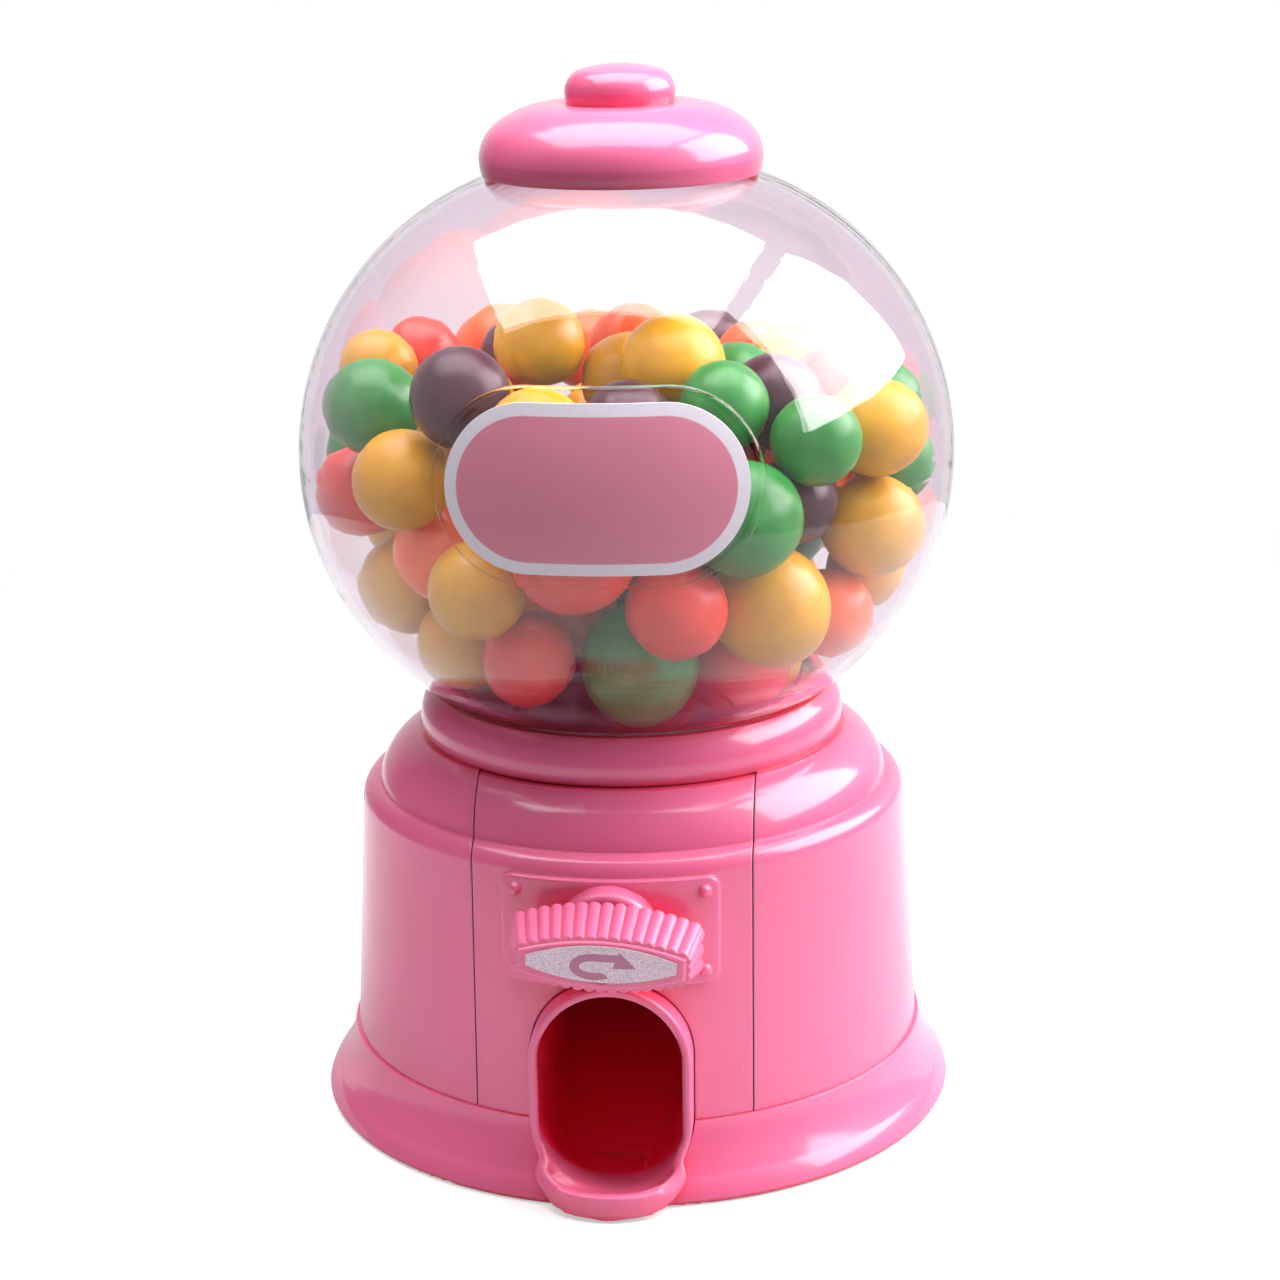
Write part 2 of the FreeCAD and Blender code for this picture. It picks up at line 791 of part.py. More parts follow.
def globe():
    inner_curve = globe_lower_curve - S.globe_wall
    neck_in = neck_radius - S.globe_wall
    neck_run = neck_in - S.globe_lower_offset
    neck_top_z = equator_z - root(inner_curve * inner_curve - neck_run * neck_run)
    neck_z = flange_z + S.fit_gap
    tank = revolved("globe_tank", "XZ_Plane", [
        (neck_in, neck_z),
        (neck_radius, neck_z),
        (neck_radius, seat_z),
        (globe_foot_radius, seat_z),
        (S.globe_radius, equator_z, globe_lower_curve, 1),
        (lip_radius, lip_foot_z, globe_upper_curve, 1),
        (lip_radius, lip_top_z),
        (S.mouth_radius, lip_top_z),
        (S.mouth_radius, globe_height(S.mouth_radius, S.globe_wall)),
        (S.globe_radius - S.globe_wall, equator_z, globe_upper_curve - S.globe_wall, -1),
        (neck_in, neck_top_z, inner_curve, -1),
    ])
    return fused("globe", [tank, label_pad()])


def globe_label():
    back = S.pad_rise + S.seat_gap
    reach = S.label_radius + S.pad_margin
    band = globe_band("label_band", back, back + S.label_thickness, label_z - reach, label_z + reach)
    frame = prism("label_frame", "XZ_Plane", level_slot(S.label_radius, S.label_half_run, label_z),
                  S.wall, S.globe_radius * 2)
    return common("globe_label", band, frame)


def lid():
    plug = S.mouth_radius - S.lid_gap
    rim_z = lip_top_z - S.lid_rim_drop
    rim_in = lip_radius + S.lid_gap
    rim = rim_in + S.lid_wall
    bulge = rim + S.lid_bulge
    rim_in_z = globe_height(rim_in, 0) + S.lid_gap
    plug_z = lip_top_z - S.lid_plug_depth
    edge_z = lip_top_z + S.lid_edge_rise
    dome_z = lip_top_z + S.lid_dome_rise
    flank_z = dome_z + S.button_flank
    crown_z = flank_z + S.button_crown_rise
    crown = S.button_radius - S.button_crown_inset
    crown_curve = (crown * crown + S.button_top_rise * S.button_top_rise) / (S.button_top_rise * 2)
    ceiling_z = lip_top_z + S.lid_ceiling_rise
    return revolved("lid", "XZ_Plane", [
        (0, ceiling_z),
        (plug - S.lid_wall, ceiling_z),
        (plug - S.lid_wall, plug_z),
        (plug, plug_z),
        (plug, lip_top_z),
        (rim_in, lip_top_z),
        (rim_in, rim_in_z),
        (rim, rim_z),
        (bulge, lip_top_z - S.lid_bulge_drop, S.lid_side_curve, 1),
        (bulge - S.lid_edge_inset, edge_z, S.lid_edge_curve, 1),
        (S.button_radius - S.button_foot_inset, dome_z, S.lid_dome_curve, 1),
        (S.button_radius, flank_z),
        (crown, crown_z, S.button_edge_curve, 1),
        (0, crown_z + S.button_top_rise, crown_curve, 1),
    ])


# Dial

def fluted_wire(depth, half_width, half_height, end_half_height):
    """A closed wire of outward arcs, one for each rib, round a lens with cut ends."""
    rise = half_height - end_half_height
    radius = (half_width * half_width + rise * rise) / (2 * rise)
    spread = math.asin(half_width / radius)
    along = int(S.dial_ribs_along.value)
    at_end = int(S.dial_ribs_end.value)
    top = []
    for step in range(along):
        angle = spread * (2 * step / along - 1)
        top.append((radius * math.sin(angle), half_height - radius + radius * math.cos(angle)))
    right = [(half_width, end_half_height * (1 - 2 * step / at_end)) for step in range(at_end)]
    half_turn = [(-across, -up) for across, up in top + right]
    corners = top + right + half_turn
    arcs = []
    for start, end in zip(corners, corners[1:] + corners[:1]):
        length = math.hypot(end[0] - start[0], end[1] - start[1])
        bulge = S.dial_rib_rise.value / length
        across = (start[0] + end[0]) / 2 - (end[1] - start[1]) * bulge
        up = (start[1] + end[1]) / 2 + (end[0] - start[0]) * bulge
        spots = [FreeCAD.Vector(spot[0], -depth, spot[1]) for spot in (start, (across, up), end)]
        arcs.append(Part.Arc(*spots).toShape())
    return Part.Wire(arcs)


def dial_grip():
    """The ribbed grip, tapered from a wide back to a narrow front."""
    back = fluted_wire(dial_back.value, S.dial_half_width.value, S.dial_half_height.value,
                       S.dial_end_half_height.value)
    front = fluted_wire(dial_rim.value, S.dial_front_half_width.value, S.dial_front_half_height.value,
                        S.dial_front_end_half_height.value)
    solid, ruled = True, True
    item = doc.addObject("Part::Feature", "dial_grip")
    item.Shape = Part.makeLoft([back, front], solid, ruled)
    item.Placement = FreeCAD.Placement()
    return item


def dial_bezel():
    """The smooth rim in front of the ribs, rounded towards the face."""
    inset = S.dial_bezel_inset
    outline = lens(S.dial_front_half_width - inset, S.dial_front_half_height - inset,
                   S.dial_front_end_half_height - inset)
    sunk = S.dial_bezel_depth / 2
    bezel = prism("bezel_form", "XZ_Plane", outline, dial_rim - sunk, S.dial_bezel_depth + sunk)
    pad = bezel.Tip
    doc.recompute()
    front = []
    for number, edge in enumerate(bezel.Shape.Edges, start=1):
        if abs(edge.BoundBox.YMax + dial_face.value) < S.seat_gap.value:
            front.append(f"Edge{number}")
    rim = bezel.newObject("PartDesign::Fillet", "bezel_rim")
    rim.Base = (pad, front)
    bind(rim, "Radius", S.dial_bezel_round)
    return bezel


def shaft_flat_block(name, gap):
    """The space beside the shaft's flat, from the flat to the shaft's round side."""
    side = S.shaft_radius * 2
    return block(name, (-side, -shaft_end - S.wall, S.shaft_flat + gap), (side, -dial_back, side))


def dial_knob():
    form = fused("knob_form", [dial_grip(), dial_bezel()])
    socket_radius = S.shaft_radius + S.seat_gap
    socket_end = shaft_end + S.seat_gap
    round_socket = cylinder("knob_round_socket", socket_radius, socket_end, (0, -socket_end, 0), "y")
    socket = cut("knob_socket", round_socket, [shaft_flat_block("knob_flat", S.seat_gap)])
    sink = cylinder("knob_sink", S.screw_head_radius + S.fit_gap, S.screw_head_height + S.fit_gap,
                    (0, -dial_face, 0), "y")
    hole = cylinder("knob_hole", pilot_radius, dial_face, (0, -dial_face, 0), "y")
    return set_on_dial_axis(cut("dial_knob", form, [socket, sink, hole]), S.dial_rest_turn)


def dial_sticker():
    side_inset = S.dial_bezel_inset + S.sticker_side_inset
    outline = lens(S.dial_front_half_width - S.dial_bezel_inset - S.sticker_end_inset,
                   S.dial_front_half_height - side_inset,
                   S.dial_front_end_half_height - side_inset, S.sticker_rise)
    sticker = prism("dial_sticker", "XZ_Plane", outline, dial_face + S.seat_gap, S.sticker_thickness)
    return set_on_dial_axis(sticker, S.dial_rest_turn)


def dial_screw():
    fixing = screw("dial_screw", (0, S.fit_gap - dial_face, 0), "y", 1, S.screw_length)
    return set_on_dial_axis(fixing, S.dial_rest_turn)


def dispensing_drum():
    """The drum, with its shaft to the front, its journal to the rear and one ball pocket facing down."""
    form = revolved("drum_form", "XY_Plane", [
        (0, -shaft_end),
        (S.shaft_radius, -shaft_end),
        (S.shaft_radius, -drum_half_length),
        (drum_radius, -drum_half_length),
        (drum_radius, drum_half_length),
        (S.journal_radius, drum_half_length),
        (S.journal_radius, drum_half_length + S.journal_length),
        (0, drum_half_length + S.journal_length),
    ])
    pocket = cylinder("drum_pocket", pocket_radius, drum_radius * 2, (0, 0, S.pocket_floor - drum_radius * 2))
    flat = shaft_flat_block("shaft_flat", 0)
    pilot = cylinder("shaft_pilot", pilot_radius, S.screw_length, (0, -shaft_end, 0), "y")
    return set_on_dial_axis(cut("dispensing_drum", form, [pocket, flat, pilot]), S.dial_rest_turn)


# Hopper and drum housing

ear_z = dial_z + S.housing_ear_rise + S.housing_ear_thickness
throat_z = dial_z + housing_radius + S.hopper_wall / 2
hopper_post_side = housing_radius + S.hopper_post_offset


def hopper_spots(height):
    half_pitch = S.hopper_post_pitch / 2
    return [(hopper_post_side * side, half_pitch * depth, height) for side, depth in QUARTERS]


dish_radius = neck_radius - S.globe_wall - S.fit_gap
dish_slope = (flange_z - throat_z) / (dish_radius - throat_radius)


def hopper():
    neck = throat_radius + S.hopper_wall
    under = S.hopper_wall
    hang = dish_radius - S.ledge_width / 2
    dish = revolved("hopper_dish", "XZ_Plane", [
        (throat_radius, dial_z + drum_radius / 2),
        (neck, dial_z + drum_radius / 2),
        (neck, throat_z - under + S.hopper_wall * dish_slope),
        (hang, flange_z - under),
        (hang, ledge_z),
        (neck_radius, ledge_z),
        (neck_radius, flange_z),
        (dish_radius, flange_z),
        (throat_radius, throat_z),
    ])
    post_reach = hopper_post_side - S.hopper_post_radius - throat_radius
    post_top = throat_z + dish_slope * post_reach - S.seat_gap
    posts = []
    pilots = []
    for number, spot in enumerate(hopper_spots(ear_z)):
        posts.append(cylinder(f"hopper_post_{number}", S.hopper_post_radius, post_top - ear_z, spot))
        depth = S.screw_length - S.housing_ear_thickness + S.fit_gap
        pilots.append(cylinder(f"hopper_pilot_{number}", pilot_radius, depth, spot))
    saddle_length = drum_half_length * 3
    saddle = cylinder("hopper_saddle", housing_radius + S.fit_gap, saddle_length,
                      (0, -saddle_length / 2, dial_z), "y")
    return cut("hopper", fused("hopper_form", [dish] + posts), [saddle] + pilots)


def drum_housing():
    front = drum_half_length + S.moving_gap * 3
    rear = drum_half_length + S.moving_gap
    back = rear + S.housing_wall
    sleeve = S.journal_radius + S.bearing_wall
    bearing = S.journal_radius + S.running_fit
    sleeve_end = drum_half_length + S.journal_length + S.moving_gap
    cup = revolved("housing_cup", "XY_Plane", [
        (housing_bore, -front),
        (housing_radius, -front),
        (housing_radius, back),
        (sleeve, back),
        (sleeve, sleeve_end),
        (bearing, sleeve_end),
        (bearing, rear),
        (housing_bore, rear),
    ])
    ears = []
    holes = []
    ear_half = S.hopper_post_pitch / 2 + S.hopper_post_radius
    ear_low = S.housing_ear_rise
    ear_top = ear_low + S.housing_ear_thickness
    ear_inner = root(housing_bore * housing_bore - ear_low * ear_low) + S.housing_wall / 3
    ear_reach = hopper_post_side + S.housing_ear_margin
    for name, low, high in (("right", ear_inner, ear_reach), ("left", -ear_reach, -ear_inner)):
        ears.append(block(f"housing_ear_{name}", (low, -ear_half, ear_low), (high, ear_half, ear_top)))
    for number, (across, depth, height) in enumerate(hopper_spots(ear_low - S.wall)):
        holes.append(cylinder(f"housing_hole_{number}", S.screw_radius + S.notch_gap, S.wall * 3,
                              (across, depth, height)))
    inlet = cylinder("housing_inlet", throat_radius, housing_radius * 2, (0, 0, 0))
    outlet = cylinder("housing_outlet", outlet_radius, housing_radius * 2, (0, 0, -housing_radius * 2))
    form = fused("housing_form", [cup] + ears)
    return set_on_dial_axis(cut("drum_housing", form, [inlet, outlet] + holes))


def housing_screws():
    head_z = dial_z + S.housing_ear_rise - S.screw_head_height
    return screw_set("housing_screws", hopper_spots(head_z), "z", 1, S.screw_length)


# Chute

chute_back = drum_half_length + S.moving_gap
ramp_front = spout_mouth - S.ramp_setback
ramp_back_z = dial_z - housing_radius - S.ramp_drop
ramp_slope = (ramp_back_z - S.ramp_front_height) / (ramp_front + chute_back)


def ramp_place(height):
    """The place along Y where the ramp's top reaches a height."""
    return (height - S.ramp_front_height) / ramp_slope - ramp_front


def scoop_plan(name, inset):
    """A tall prism with the scoop's round front in plan, and open room behind it."""
    radius = lip_curve - inset
    rear = chute_back - inset
    return prism(name, "XY_Plane", [
        (radius, rear),
        (-radius, rear),
        (-radius, lip_centre),
        (0, lip_centre - radius, radius, 1),
        (radius, lip_centre, radius, 1),
    ], -S.wall, dial_z)


def spout_tube(name, inset):
    """The slot-shaped tube with the scoop's round front, less an inset all round."""
    outline = upright_slot(S.spout_radius - inset, spout_low, spout_high)
    tube = prism(f"{name}_tube", "XZ_Plane", outline, -chute_back * 2, chute_back * 2 + lip_reach * 2)
    return common(name, tube, scoop_plan(f"{name}_plan", inset))


def side_cut(name, corners):
    """A cut right across the chute, drawn from the side."""
    half = S.spout_radius * 2
    return prism(name, "YZ_Plane", corners, -half, half * 2)


def chute():
    hollow = cut("chute_hollow", spout_tube("chute_outer", 0), [spout_tube("chute_inner", S.spout_wall)])
    ramp_half = S.spout_radius - S.spout_wall / 2
    ramp = prism("chute_ramp", "YZ_Plane", [
        (-ramp_front, S.ramp_front_height - S.ramp_thickness),
        (chute_back - S.spout_wall / 2, ramp_back_z - S.ramp_thickness),
        (chute_back - S.spout_wall / 2, ramp_back_z),
        (-ramp_front, S.ramp_front_height),
    ], -ramp_half, ramp_half * 2)
    ramp_in_tube = common("chute_ramp_fitted", ramp, spout_tube("chute_ramp_room", S.spout_wall / 2))
    ears = []
    holes = []
    ear_low = chute_screw_z - S.chute_ear_height / 2
    inner = S.spout_radius - S.spout_wall / 2
    ear_reach = chute_screw_side + S.chute_ear_margin
    for name, low, high in (("right", inner, ear_reach), ("left", -ear_reach, -inner)):
        ears.append(block(f"chute_ear_{name}", (low, -chute_ear_place, ear_low),
                          (high, S.chute_ear_thickness - chute_ear_place, ear_low + S.chute_ear_height)))
    for number, spot in enumerate(chute_screw_spots(-chute_ear_place - S.wall)):
        holes.append(cylinder(f"chute_hole_{number}", S.screw_radius + S.notch_gap, S.wall * 3, spot, "y"))
    roof_y = -drum_half_length - S.entry_margin
    rim_z = dial_z - housing_radius - S.moving_gap
    far = chute_back * 2
    entry = side_cut("chute_entry", [
        (roof_y, rim_z),
        (far, rim_z),
        (far, dial_z),
        (roof_y, dial_z),
    ])
    toe_y = -ramp_front + S.ramp_thickness * 2
    under_start = S.ramp_front_height - S.ramp_thickness + ramp_slope * (S.ramp_thickness * 2)
    under_end = S.ramp_front_height - S.ramp_thickness + ramp_slope * (far + ramp_front)
    below = side_cut("chute_below", [
        (toe_y, -S.wall),
        (far, -S.wall),
        (far, under_end),
        (toe_y, under_start),
    ])
    front = -lip_reach - S.wall
    mouth = side_cut("chute_mouth", [
        (front, S.lip_height),
        (-lip_reach, S.lip_height),
        (-spout_mouth, sweep_z, sweep_curve, 1),
        (-spout_mouth, dial_z),
        (front, dial_z),
    ])
    form = fused("chute_form", [hollow, ramp_in_tube] + ears)
    opened = cut("chute_open", form, [entry, below, mouth] + holes)
    return rounded("chute", opened, S.spout_rim_round, on_mouth_rim)


def on_mouth_rim(edge):
    """Whether an edge of the chute runs round the outside of the spout's cut mouth."""
    spread = edge.LastParameter - edge.FirstParameter
    spots = [edge.valueAt(edge.FirstParameter + spread * share) for share in (0, 0.5, 1)]
    tolerance = S.seat_gap.value
    return all(mouth_distance(spot) < tolerance and outside_distance(spot) < tolerance for spot in spots)


def mouth_distance(spot):
    """How far a spot lies from the surface that cuts the spout's mouth."""
    if spot.z >= sweep_z.value:
        return abs(spot.y + spout_mouth.value)
    run = spot.y + spout_mouth.value + sweep_curve.value
    return abs(math.hypot(run, spot.z - sweep_z.value) - sweep_curve.value)


def outside_distance(spot):
    """How far a spot lies from the outside of the spout's tube or of its round front."""
    nearest_z = min(max(spot.z, spout_low.value), spout_high.value)
    from_tube = math.hypot(spot.x, spot.z - nearest_z) - S.spout_radius.value
    from_front = math.hypot(spot.x, spot.y - lip_centre.value) - lip_curve.value
    return min(abs(from_tube), abs(from_front))


def chute_screws():
    head_y = S.chute_ear_thickness - chute_ear_place + S.screw_head_height
    return screw_set("chute_screws", chute_screw_spots(head_y), "y", -1, S.chute_screw_length)


# Gumballs: the ones that show start near their places, the rest fill up, and all settle apart

# Colour, share added to the usual diameter, and rough place from the globe's centre in globe radii
SHOWN_GUMBALLS = [
    ("yellow", 0.00, -0.60, -0.55, 0.05),
    ("red", -0.04, -0.83, -0.18, -0.10),
    ("green", -0.02, -0.69, -0.35, 0.26),
    ("purple", 0.00, -0.39, -0.62, 0.33),
    ("yellow", -0.04, -0.25, 0.00, 0.31),
    ("yellow", 0.07, 0.14, -0.28, 0.33),
    ("green", -0.11, 0.35, -0.46, 0.28),
    ("green", -0.11, 0.58, -0.58, 0.19),
    ("red", 0.02, 0.65, 0.48, 0.05),
    ("green", -0.12, 0.76, 0.04, 0.00),
    ("yellow", 0.05, 0.77, -0.20, -0.09),
    ("purple", -0.12, 0.48, -0.45, -0.05),
    ("green", 0.14, 0.36, -0.69, -0.05),
    ("yellow", 0.22, 0.44, -0.53, -0.29),
    ("orange", -0.09, 0.60, -0.25, -0.41),
    ("yellow", -0.14, 0.70, -0.02, -0.42),
    ("red", 0.23, -0.05, -0.76, -0.12),
    ("green", 0.22, 0.07, -0.55, -0.45),
    ("purple", -0.12, 0.24, -0.40, -0.26),
    ("red", -0.06, -0.28, -0.53, -0.48),
    ("yellow", -0.02, -0.37, -0.67, -0.22),
    ("yellow", 0.07, -0.65, -0.28, -0.38),
    ("yellow", -0.05, -0.55, -0.35, -0.43),
    ("orange", 0.15, -0.44, 0.62, 0.24),
    ("red", -0.07, -0.69, 0.35, 0.28),
    ("purple", -0.12, -0.37, 0.28, 0.26),
    ("orange", 0.00, 0.00, 0.35, 0.24),
    ("purple", -0.08, 0.07, -0.44, 0.24),
    ("yellow", -0.14, -0.78, 0.05, 0.24),
    ("red", 0.16, 0.30, -0.28, -0.59),
    ("orange", -0.15, 0.41, -0.07, -0.52),
]
FILL_COLOURS = ["red", "yellow", "green", "orange", "purple", "yellow", "green"]
# How many balls fill up, as a share of the cube of the globe's radius over the usual diameter
FILL_SHARE = 1.855
# How close the filling may start to another ball, how far it may be pushed by the wall, and how far
# it drops in a round, all as shares of the usual diameter
FILL_NEAREST = 0.72
FILL_PUSH = 0.33
GRAVITY_STEP = 0.006
SETTLE_ROUNDS = 260
CALM_ROUNDS = 140
# The share of a move that a ball takes: the ones that show keep near their places
FREE = 1.0
STEADY = 0.12
# The gap that still counts as touching, as a share of a ball's radius
TOUCHING = 0.1


def fill_places(diameter):
    """Places of a close-packed lattice from the hopper's throat up, in each layer from the middle out."""
    span = int(S.globe_radius.value / diameter) + 1
    layer_rise = diameter * math.sqrt(2 / 3)
    row_step = diameter * math.sqrt(3) / 2
    lowest = throat_z.value - equator_z.value + diameter / 2
    layers = int((S.globe_radius.value - lowest) / layer_rise)
    for layer in range(layers):
        places = []
        for row in range(-span, span + 1):
            for column in range(-span, span + 1):
                across = diameter * (column + (row % 2) / 2 + (layer % 2) / 2)
                depth = row_step * (row + (layer % 2) / 3)
                colour = FILL_COLOURS[(layer * 3 + row * 2 + column) % len(FILL_COLOURS)]
                places.append((across, depth, lowest + layer * layer_rise, colour))
        yield from sorted(places, key=lambda spot: math.hypot(spot[0], spot[1]))


def contained(ball):
    """Push a ball back inside the globe, its neck and the hopper's dish."""
    across, depth, height, radius, freedom = ball
    reach = math.hypot(across, depth)
    if height > 0:
        centre, curve = S.globe_upper_offset.value, globe_upper_curve.value
    else:
        centre, curve = S.globe_lower_offset.value, globe_lower_curve.value
    inner = curve - S.globe_wall.value
    neck = neck_radius.value - S.globe_wall.value
    neck_height = -math.sqrt(inner * inner - (neck - centre) ** 2)
    run = reach - centre
    away = math.hypot(run, height)
    aims_at_wall = height > 0 or run * neck_height < height * (neck - centre)
    if away > inner - radius and run > 0 and aims_at_wall:
        reach = centre + run * (inner - radius) / away
        height = height * (inner - radius) / away
    elif not aims_at_wall or run <= 0:
        edge = math.hypot(neck - reach, height - neck_height)
        if height < neck_height:
            reach = min(reach, neck - radius)
        elif edge < radius:
            reach += (reach - neck) * (radius - edge) / edge
            height += (height - neck_height) * (radius - edge) / edge
    slope = dish_slope.value
    beyond = max(0.0, reach - throat_radius.value)
    floor = throat_z.value - equator_z.value + beyond * slope
    height = max(height, floor + radius * math.hypot(1, slope))
    old_reach = math.hypot(across, depth)
    scale = reach / old_reach if old_reach > 0 else 1
    return [across * scale, depth * scale, height, radius, freedom]


def push_apart(balls):
    """Move each pair that overlaps apart, the freer one more, and give the largest overlap that was found."""
    worst = 0.0
    for first in range(len(balls)):
        one = balls[first]
        for second in range(first + 1, len(balls)):
            two = balls[second]
            room = one[3] + two[3]
            across, depth, height = two[0] - one[0], two[1] - one[1], two[2] - one[2]
            if abs(across) > room or abs(depth) > room or abs(height) > room:
                continue
            apart = math.sqrt(across * across + depth * depth + height * height)
            if apart >= room:
                continue
            worst = max(worst, room - apart)
            share = (room - apart) / apart / (one[4] + two[4])
            for axis, offset in enumerate((across, depth, height)):
                one[axis] -= offset * share * one[4]
                two[axis] += offset * share * two[4]
    return worst


def hangs(ball, balls):
    """Whether a ball touches neither the walls nor another ball."""
    across, depth, height, radius, freedom = ball
    reach = radius * (1 + TOUCHING)
    held = contained([across, depth, height, reach, freedom])
    if held[:3] != ball[:3]:
        return False
    return all(math.dist(ball[:3], other[:3]) > reach + other[3] for other in balls if other is not ball)


def settled_gumballs():
    """Colours, balls as [x, y, z, radius, freedom] from the globe's centre, and what parts all of them."""
    usual = S.gumball_diameter.value
    globe = S.globe_radius.value
    fill_count = round(FILL_SHARE * (globe / usual) ** 3)
    colours = []
    balls = []
    for colour, extra, across, depth, height in SHOWN_GUMBALLS:
        colours.append(colour)
        radius = usual * (1 + extra) / 2
        balls.append(contained([across * globe, depth * globe, height * globe, radius, STEADY]))
    for *spot, colour in fill_places(usual):
        ball = contained([*spot, usual / 2, FREE])
        pushed = math.dist(ball[:3], spot) > usual * FILL_PUSH
        crowded = any(math.dist(ball[:3], other[:3]) < (ball[3] + other[3]) * FILL_NEAREST for other in balls)
        if not pushed and not crowded:
            colours.append(colour)
            balls.append(ball)
        if len(balls) == len(SHOWN_GUMBALLS) + fill_count:
            break
    for turn in range(SETTLE_ROUNDS + CALM_ROUNDS):
        if turn < SETTLE_ROUNDS:
            for ball in balls:
                ball[2] -= usual * GRAVITY_STEP * ball[4]
        push_apart(balls)
        balls = [contained(ball) for ball in balls]
    for ball in balls:
        while hangs(ball, balls):
            ball[2] -= usual * GRAVITY_STEP
    left_over = push_apart([list(ball) for ball in balls])
    shrink = left_over / 2 + S.seat_gap.value
    return colours, balls, shrink


gumball_colours, gumball_places, gumball_shrink = settled_gumballs()


def gumballs(colour):
    """All the gumballs of one colour, as a group of separate balls."""
    group = doc.addObject("Part::Compound", f"gumballs_{colour}")
    members = []
    for number, (own, ball) in enumerate(zip(gumball_colours, gumball_places)):
        if own != colour:
            continue
        item = doc.addObject("Part::Sphere", f"gumball_{number}")
        extra = ball[3] * 2 - S.gumball_diameter.value
        bind(item, "Radius", (S.gumball_diameter + extra) / 2 - gumball_shrink)
        place(item, (ball[0], ball[1], equator_z + ball[2]))
        members.append(item)
    group.Links = members
    return group


# The assembly

pieces = [
    base_skirt(),
    bottom_cover(),
    cover_screws(),
    body_shell(),
    front_panel(),
    chute(),
    chute_screws(),
    hopper(),
    drum_housing(),
    housing_screws(),
    dispensing_drum(),
    dial_knob(),
    dial_screw(),
    dial_sticker(),
    globe(),
    globe_label(),
    lid(),
]
pieces += [gumballs(colour) for colour in ("red", "orange", "yellow", "green", "purple")]
for piece in pieces:
    piece.Label = piece.Name
doc.recompute()

for item in doc.Objects:
    if "Invalid" in item.State or "Error" in item.State:
        raise RuntimeError(f"{item.Name} did not build: {item.State}")
for piece in pieces:
    if piece.Shape.isNull() or not piece.Shape.isValid():
        raise RuntimeError(f"{piece.Label} has no valid shape")

os.makedirs("parts", exist_ok=True)
for piece in pieces:
    piece.Shape.exportStep(os.path.join("parts", f"{piece.Label}.step"))
    print(piece.Label, len(piece.Shape.Solids), round(piece.Shape.Volume, 1))
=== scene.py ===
# Looks of a toy gumball machine: glossy moulded plastic, a clear globe and sugar-shelled gumballs.
# Metres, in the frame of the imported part. The front looks along -Y, +Z is up.

import math

import bmesh
import bpy
import numpy as np
from mathutils import Matrix, Vector, geometry, noise


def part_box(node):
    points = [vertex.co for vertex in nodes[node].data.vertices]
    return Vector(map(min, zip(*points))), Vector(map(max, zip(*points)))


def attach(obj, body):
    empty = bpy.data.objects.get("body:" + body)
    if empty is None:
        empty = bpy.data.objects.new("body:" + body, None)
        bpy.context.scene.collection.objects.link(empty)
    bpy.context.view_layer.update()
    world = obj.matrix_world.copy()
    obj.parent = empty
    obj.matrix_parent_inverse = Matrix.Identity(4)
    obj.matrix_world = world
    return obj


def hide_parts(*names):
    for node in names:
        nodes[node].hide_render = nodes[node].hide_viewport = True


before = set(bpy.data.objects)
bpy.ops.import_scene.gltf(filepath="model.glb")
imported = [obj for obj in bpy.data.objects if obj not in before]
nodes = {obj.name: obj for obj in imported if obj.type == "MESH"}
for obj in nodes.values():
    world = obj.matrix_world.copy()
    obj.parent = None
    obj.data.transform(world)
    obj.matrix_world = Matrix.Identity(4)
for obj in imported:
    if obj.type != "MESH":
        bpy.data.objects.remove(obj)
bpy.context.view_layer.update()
MM = 0.001


# Node helpers

def node(tree, kind, inputs=None, **settings):
    """Add a node, set its properties, and link or set its inputs by name or number."""
    item = tree.nodes.new(kind)
    for name, value in settings.items():
        setattr(item, name, value)
    for name, value in (inputs or {}).items():
        socket = item.inputs[name]
        if isinstance(value, bpy.types.NodeSocket):
            tree.links.new(value, socket)
        else:
            socket.default_value = value
    return item


def new_material(name):
    """An empty node material and its tree."""
    material = bpy.data.materials.new(name)
    material.use_nodes = True
    material.node_tree.nodes.clear()
    return material, material.node_tree


def finish_material(tree, shader):
    """Show a shader on the surface."""
    node(tree, "ShaderNodeOutputMaterial", {"Surface": shader})


def principled(tree, inputs):
    """Show a Principled shader with these inputs on the surface."""
    shader = node(tree, "ShaderNodeBsdfPrincipled", inputs)
    finish_material(tree, shader.outputs[0])


def object_place(tree):
    return node(tree, "ShaderNodeTexCoord").outputs["Object"]


def noise_at(tree, place, scale, detail=2.0, roughness=0.5):
    inputs = {"Vector": place, "Scale": scale, "Detail": detail, "Roughness": roughness}
    return node(tree, "ShaderNodeTexNoise", inputs).outputs["Fac"]


def math_node(tree, operation, first, second=0.0):
    return node(tree, "ShaderNodeMath", {0: first, 1: second}, operation=operation).outputs[0]


def vector_node(tree, operation, first, second):
    return node(tree, "ShaderNodeVectorMath", {0: first, 1: second}, operation=operation).outputs[0]


def dot_product(tree, first, second):
    inputs = {0: first, 1: second}
    return node(tree, "ShaderNodeVectorMath", inputs, operation="DOT_PRODUCT").outputs["Value"]


def remap(tree, value, span, result=(0.0, 1.0)):
    """Carry a value from one span to another and hold it at the ends."""
    inputs = {
        "Value": value,
        "From Min": span[0],
        "From Max": span[1],
        "To Min": result[0],
        "To Max": result[1],
    }
    return node(tree, "ShaderNodeMapRange", inputs).outputs[0]


def blend_colour(tree, factor, first, second):
    return node(tree, "ShaderNodeMix", {0: factor, 6: first, 7: second}, data_type="RGBA").outputs[2]


